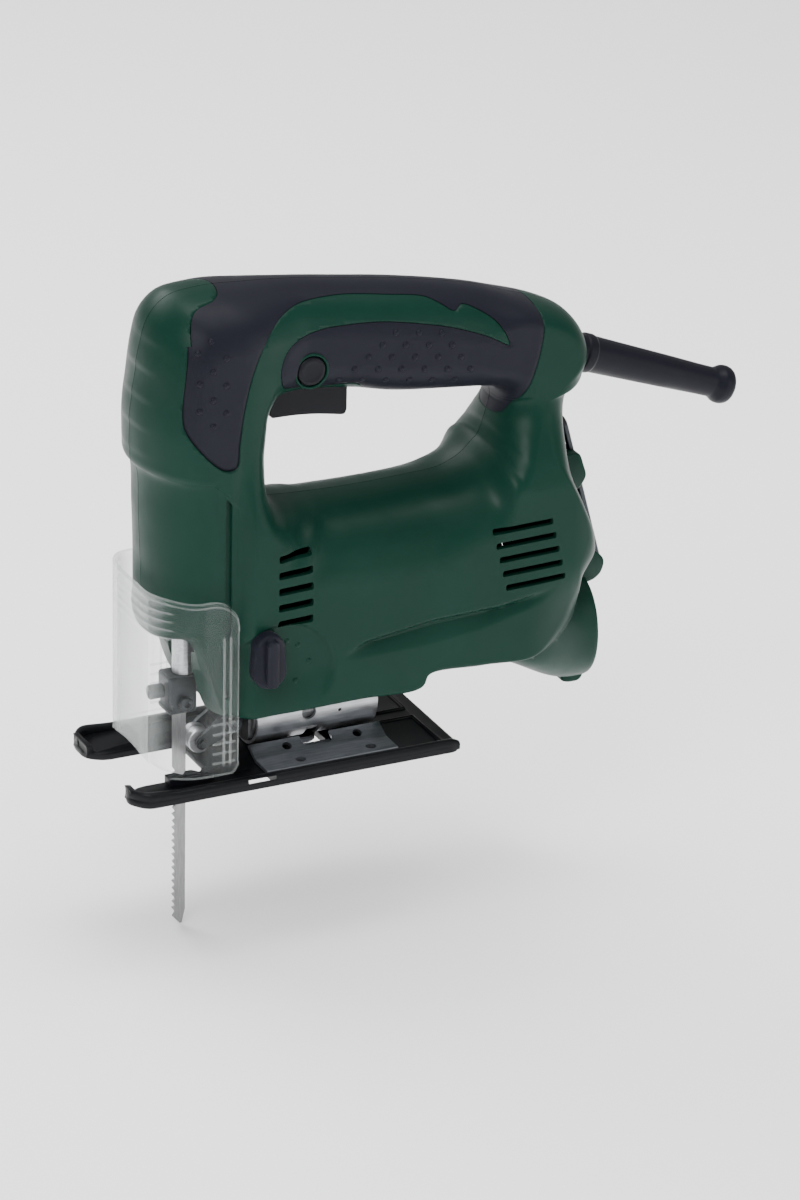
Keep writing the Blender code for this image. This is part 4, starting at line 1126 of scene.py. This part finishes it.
lock_button()
trigger()
selector_knob()
cord_guard()
hex_wrench()
dust_guard()
base_plate()
base_bracket()
trough()
rivets()
splinter_insert()
blade_clamp()
saw_blade()
guide_roller()
housing_screws()

# Carried-over solids: finer finishes and eased edges
KEPT = {
    CAST: ("gear_case", "guide_frame"),
    SATIN: ("plunger_rod", "crank_pin", "guide_pin", "gear_axle",
            "armature_shaft", "front_bearing", "rear_bearing"),
    DARK: ("scotch_yoke", "roller_arm", "arm_pin", "roller_pin", "base_bolt", "stator_core",
           "armature_core"),
    BRIGHT: ("drive_gear", "pinion"),
    COPPER: ("field_coil_upper", "field_coil_lower", "armature_winding", "commutator"),
    BRASS: ("brush_holder_left", "brush_holder_right"),
    CARBON: ("carbon_brush_left", "carbon_brush_right"),
    BLACK: ("switch_body", "cooling_fan"),
    CORD: ("cord_stub",),
}
for finish, names in KEPT.items():
    for name in names:
        node = NODES[name]
        for slot in node.material_slots:
            slot.material = finish
for name in ("roller_arm", "base_bolt", "gear_case", "guide_frame", "scotch_yoke"):
    bevelled(NODES[name], 0.3, 2, 40)


# Camera, light and floor ------------------------------------------------------------------

AZIMUTH, ELEVATION, ROLL = (math.radians(v) for v in (26.0, 24.0, -1.2))
CAMERA_AWAY, FOCAL_LENGTH = 2.4, 180.0
FLOOR_DROP, FLOOR_REACH = 1.0, 6000
LIGHTS_AIM = Vector((0.04, 0, 0.08))
TARGET = Vector((50.459, -13.960, 60.884)) * MM
back = Vector((-math.sin(AZIMUTH) * math.cos(ELEVATION), -math.cos(AZIMUTH) * math.cos(ELEVATION),
               math.sin(ELEVATION)))
level = Vector((math.cos(AZIMUTH), -math.sin(AZIMUTH), 0))
upward = back.cross(level)
right = level * math.cos(ROLL) - upward * math.sin(ROLL)
upward = level * math.sin(ROLL) + upward * math.cos(ROLL)
lens = bpy.data.cameras.new("camera")
lens.sensor_fit = "AUTO"
lens.sensor_width = 36.0
lens.lens = FOCAL_LENGTH
lens.clip_start, lens.clip_end = 0.05, 50.0
camera = bpy.data.objects.new("camera", lens)
camera.matrix_world = Matrix.Translation(TARGET + back * CAMERA_AWAY) @ Matrix(
    (right, upward, back)).transposed().to_4x4()
bpy.context.scene.collection.objects.link(camera)
bpy.context.scene.camera = camera


def softbox(name, place_xyz, size, power, colour=(1, 1, 1)):
    light = bpy.data.lights.new(name, "AREA")
    light.shape = "RECTANGLE"
    light.size, light.size_y = size
    light.energy = power
    light.color = colour
    lamp = bpy.data.objects.new(name, light)
    where = Vector(place_xyz)
    lamp.location = where
    lamp.rotation_mode = "QUATERNION"
    lamp.rotation_quaternion = (LIGHTS_AIM - where).to_track_quat("-Z", "Y")
    bpy.context.scene.collection.objects.link(lamp)


softbox("key", (-0.85, -0.9, 1.2), (0.7, 0.7), 17.0)
softbox("top", (0.15, 0.10, 1.3), (1.1, 0.5), 10.0)
softbox("fill", (1.0, -1.1, 0.45), (0.8, 0.8), 4.0)
softbox("rim", (-0.3, 1.2, 0.9), (0.9, 0.5), 8.0)

world = bpy.data.worlds.new("studio")
world.use_nodes = True
world.node_tree.nodes["Background"].inputs["Color"].default_value = (1, 1, 1, 1)
world.node_tree.nodes["Background"].inputs["Strength"].default_value = 0.42
bpy.context.scene.world = world

floor_z = CAD_BOX[0][2] / MM - FLOOR_DROP
corners = rectangle((-FLOOR_REACH, -FLOOR_REACH), (FLOOR_REACH, FLOOR_REACH))
floor = new_object("floor", ([(x, y, floor_z) for x, y in corners], [(0, 1, 2, 3)]))
ground = Finish("pale_floor", (0.86, 0.86, 0.86), 0.0, 0.9)
floor.data.materials.append(ground.material)
lit = bpy.data.collections.new("floor_only")
lit.objects.link(floor)
wash = bpy.data.lights.new("floor_wash", "AREA")
wash.shape = "SQUARE"
wash.size = 5.0
wash.energy = 150.0
lamp = bpy.data.objects.new("floor_wash", wash)
lamp.location = (0.1, 0.3, 3.0)
lamp.light_linking.receiver_collection = lit
bpy.context.scene.collection.objects.link(lamp)
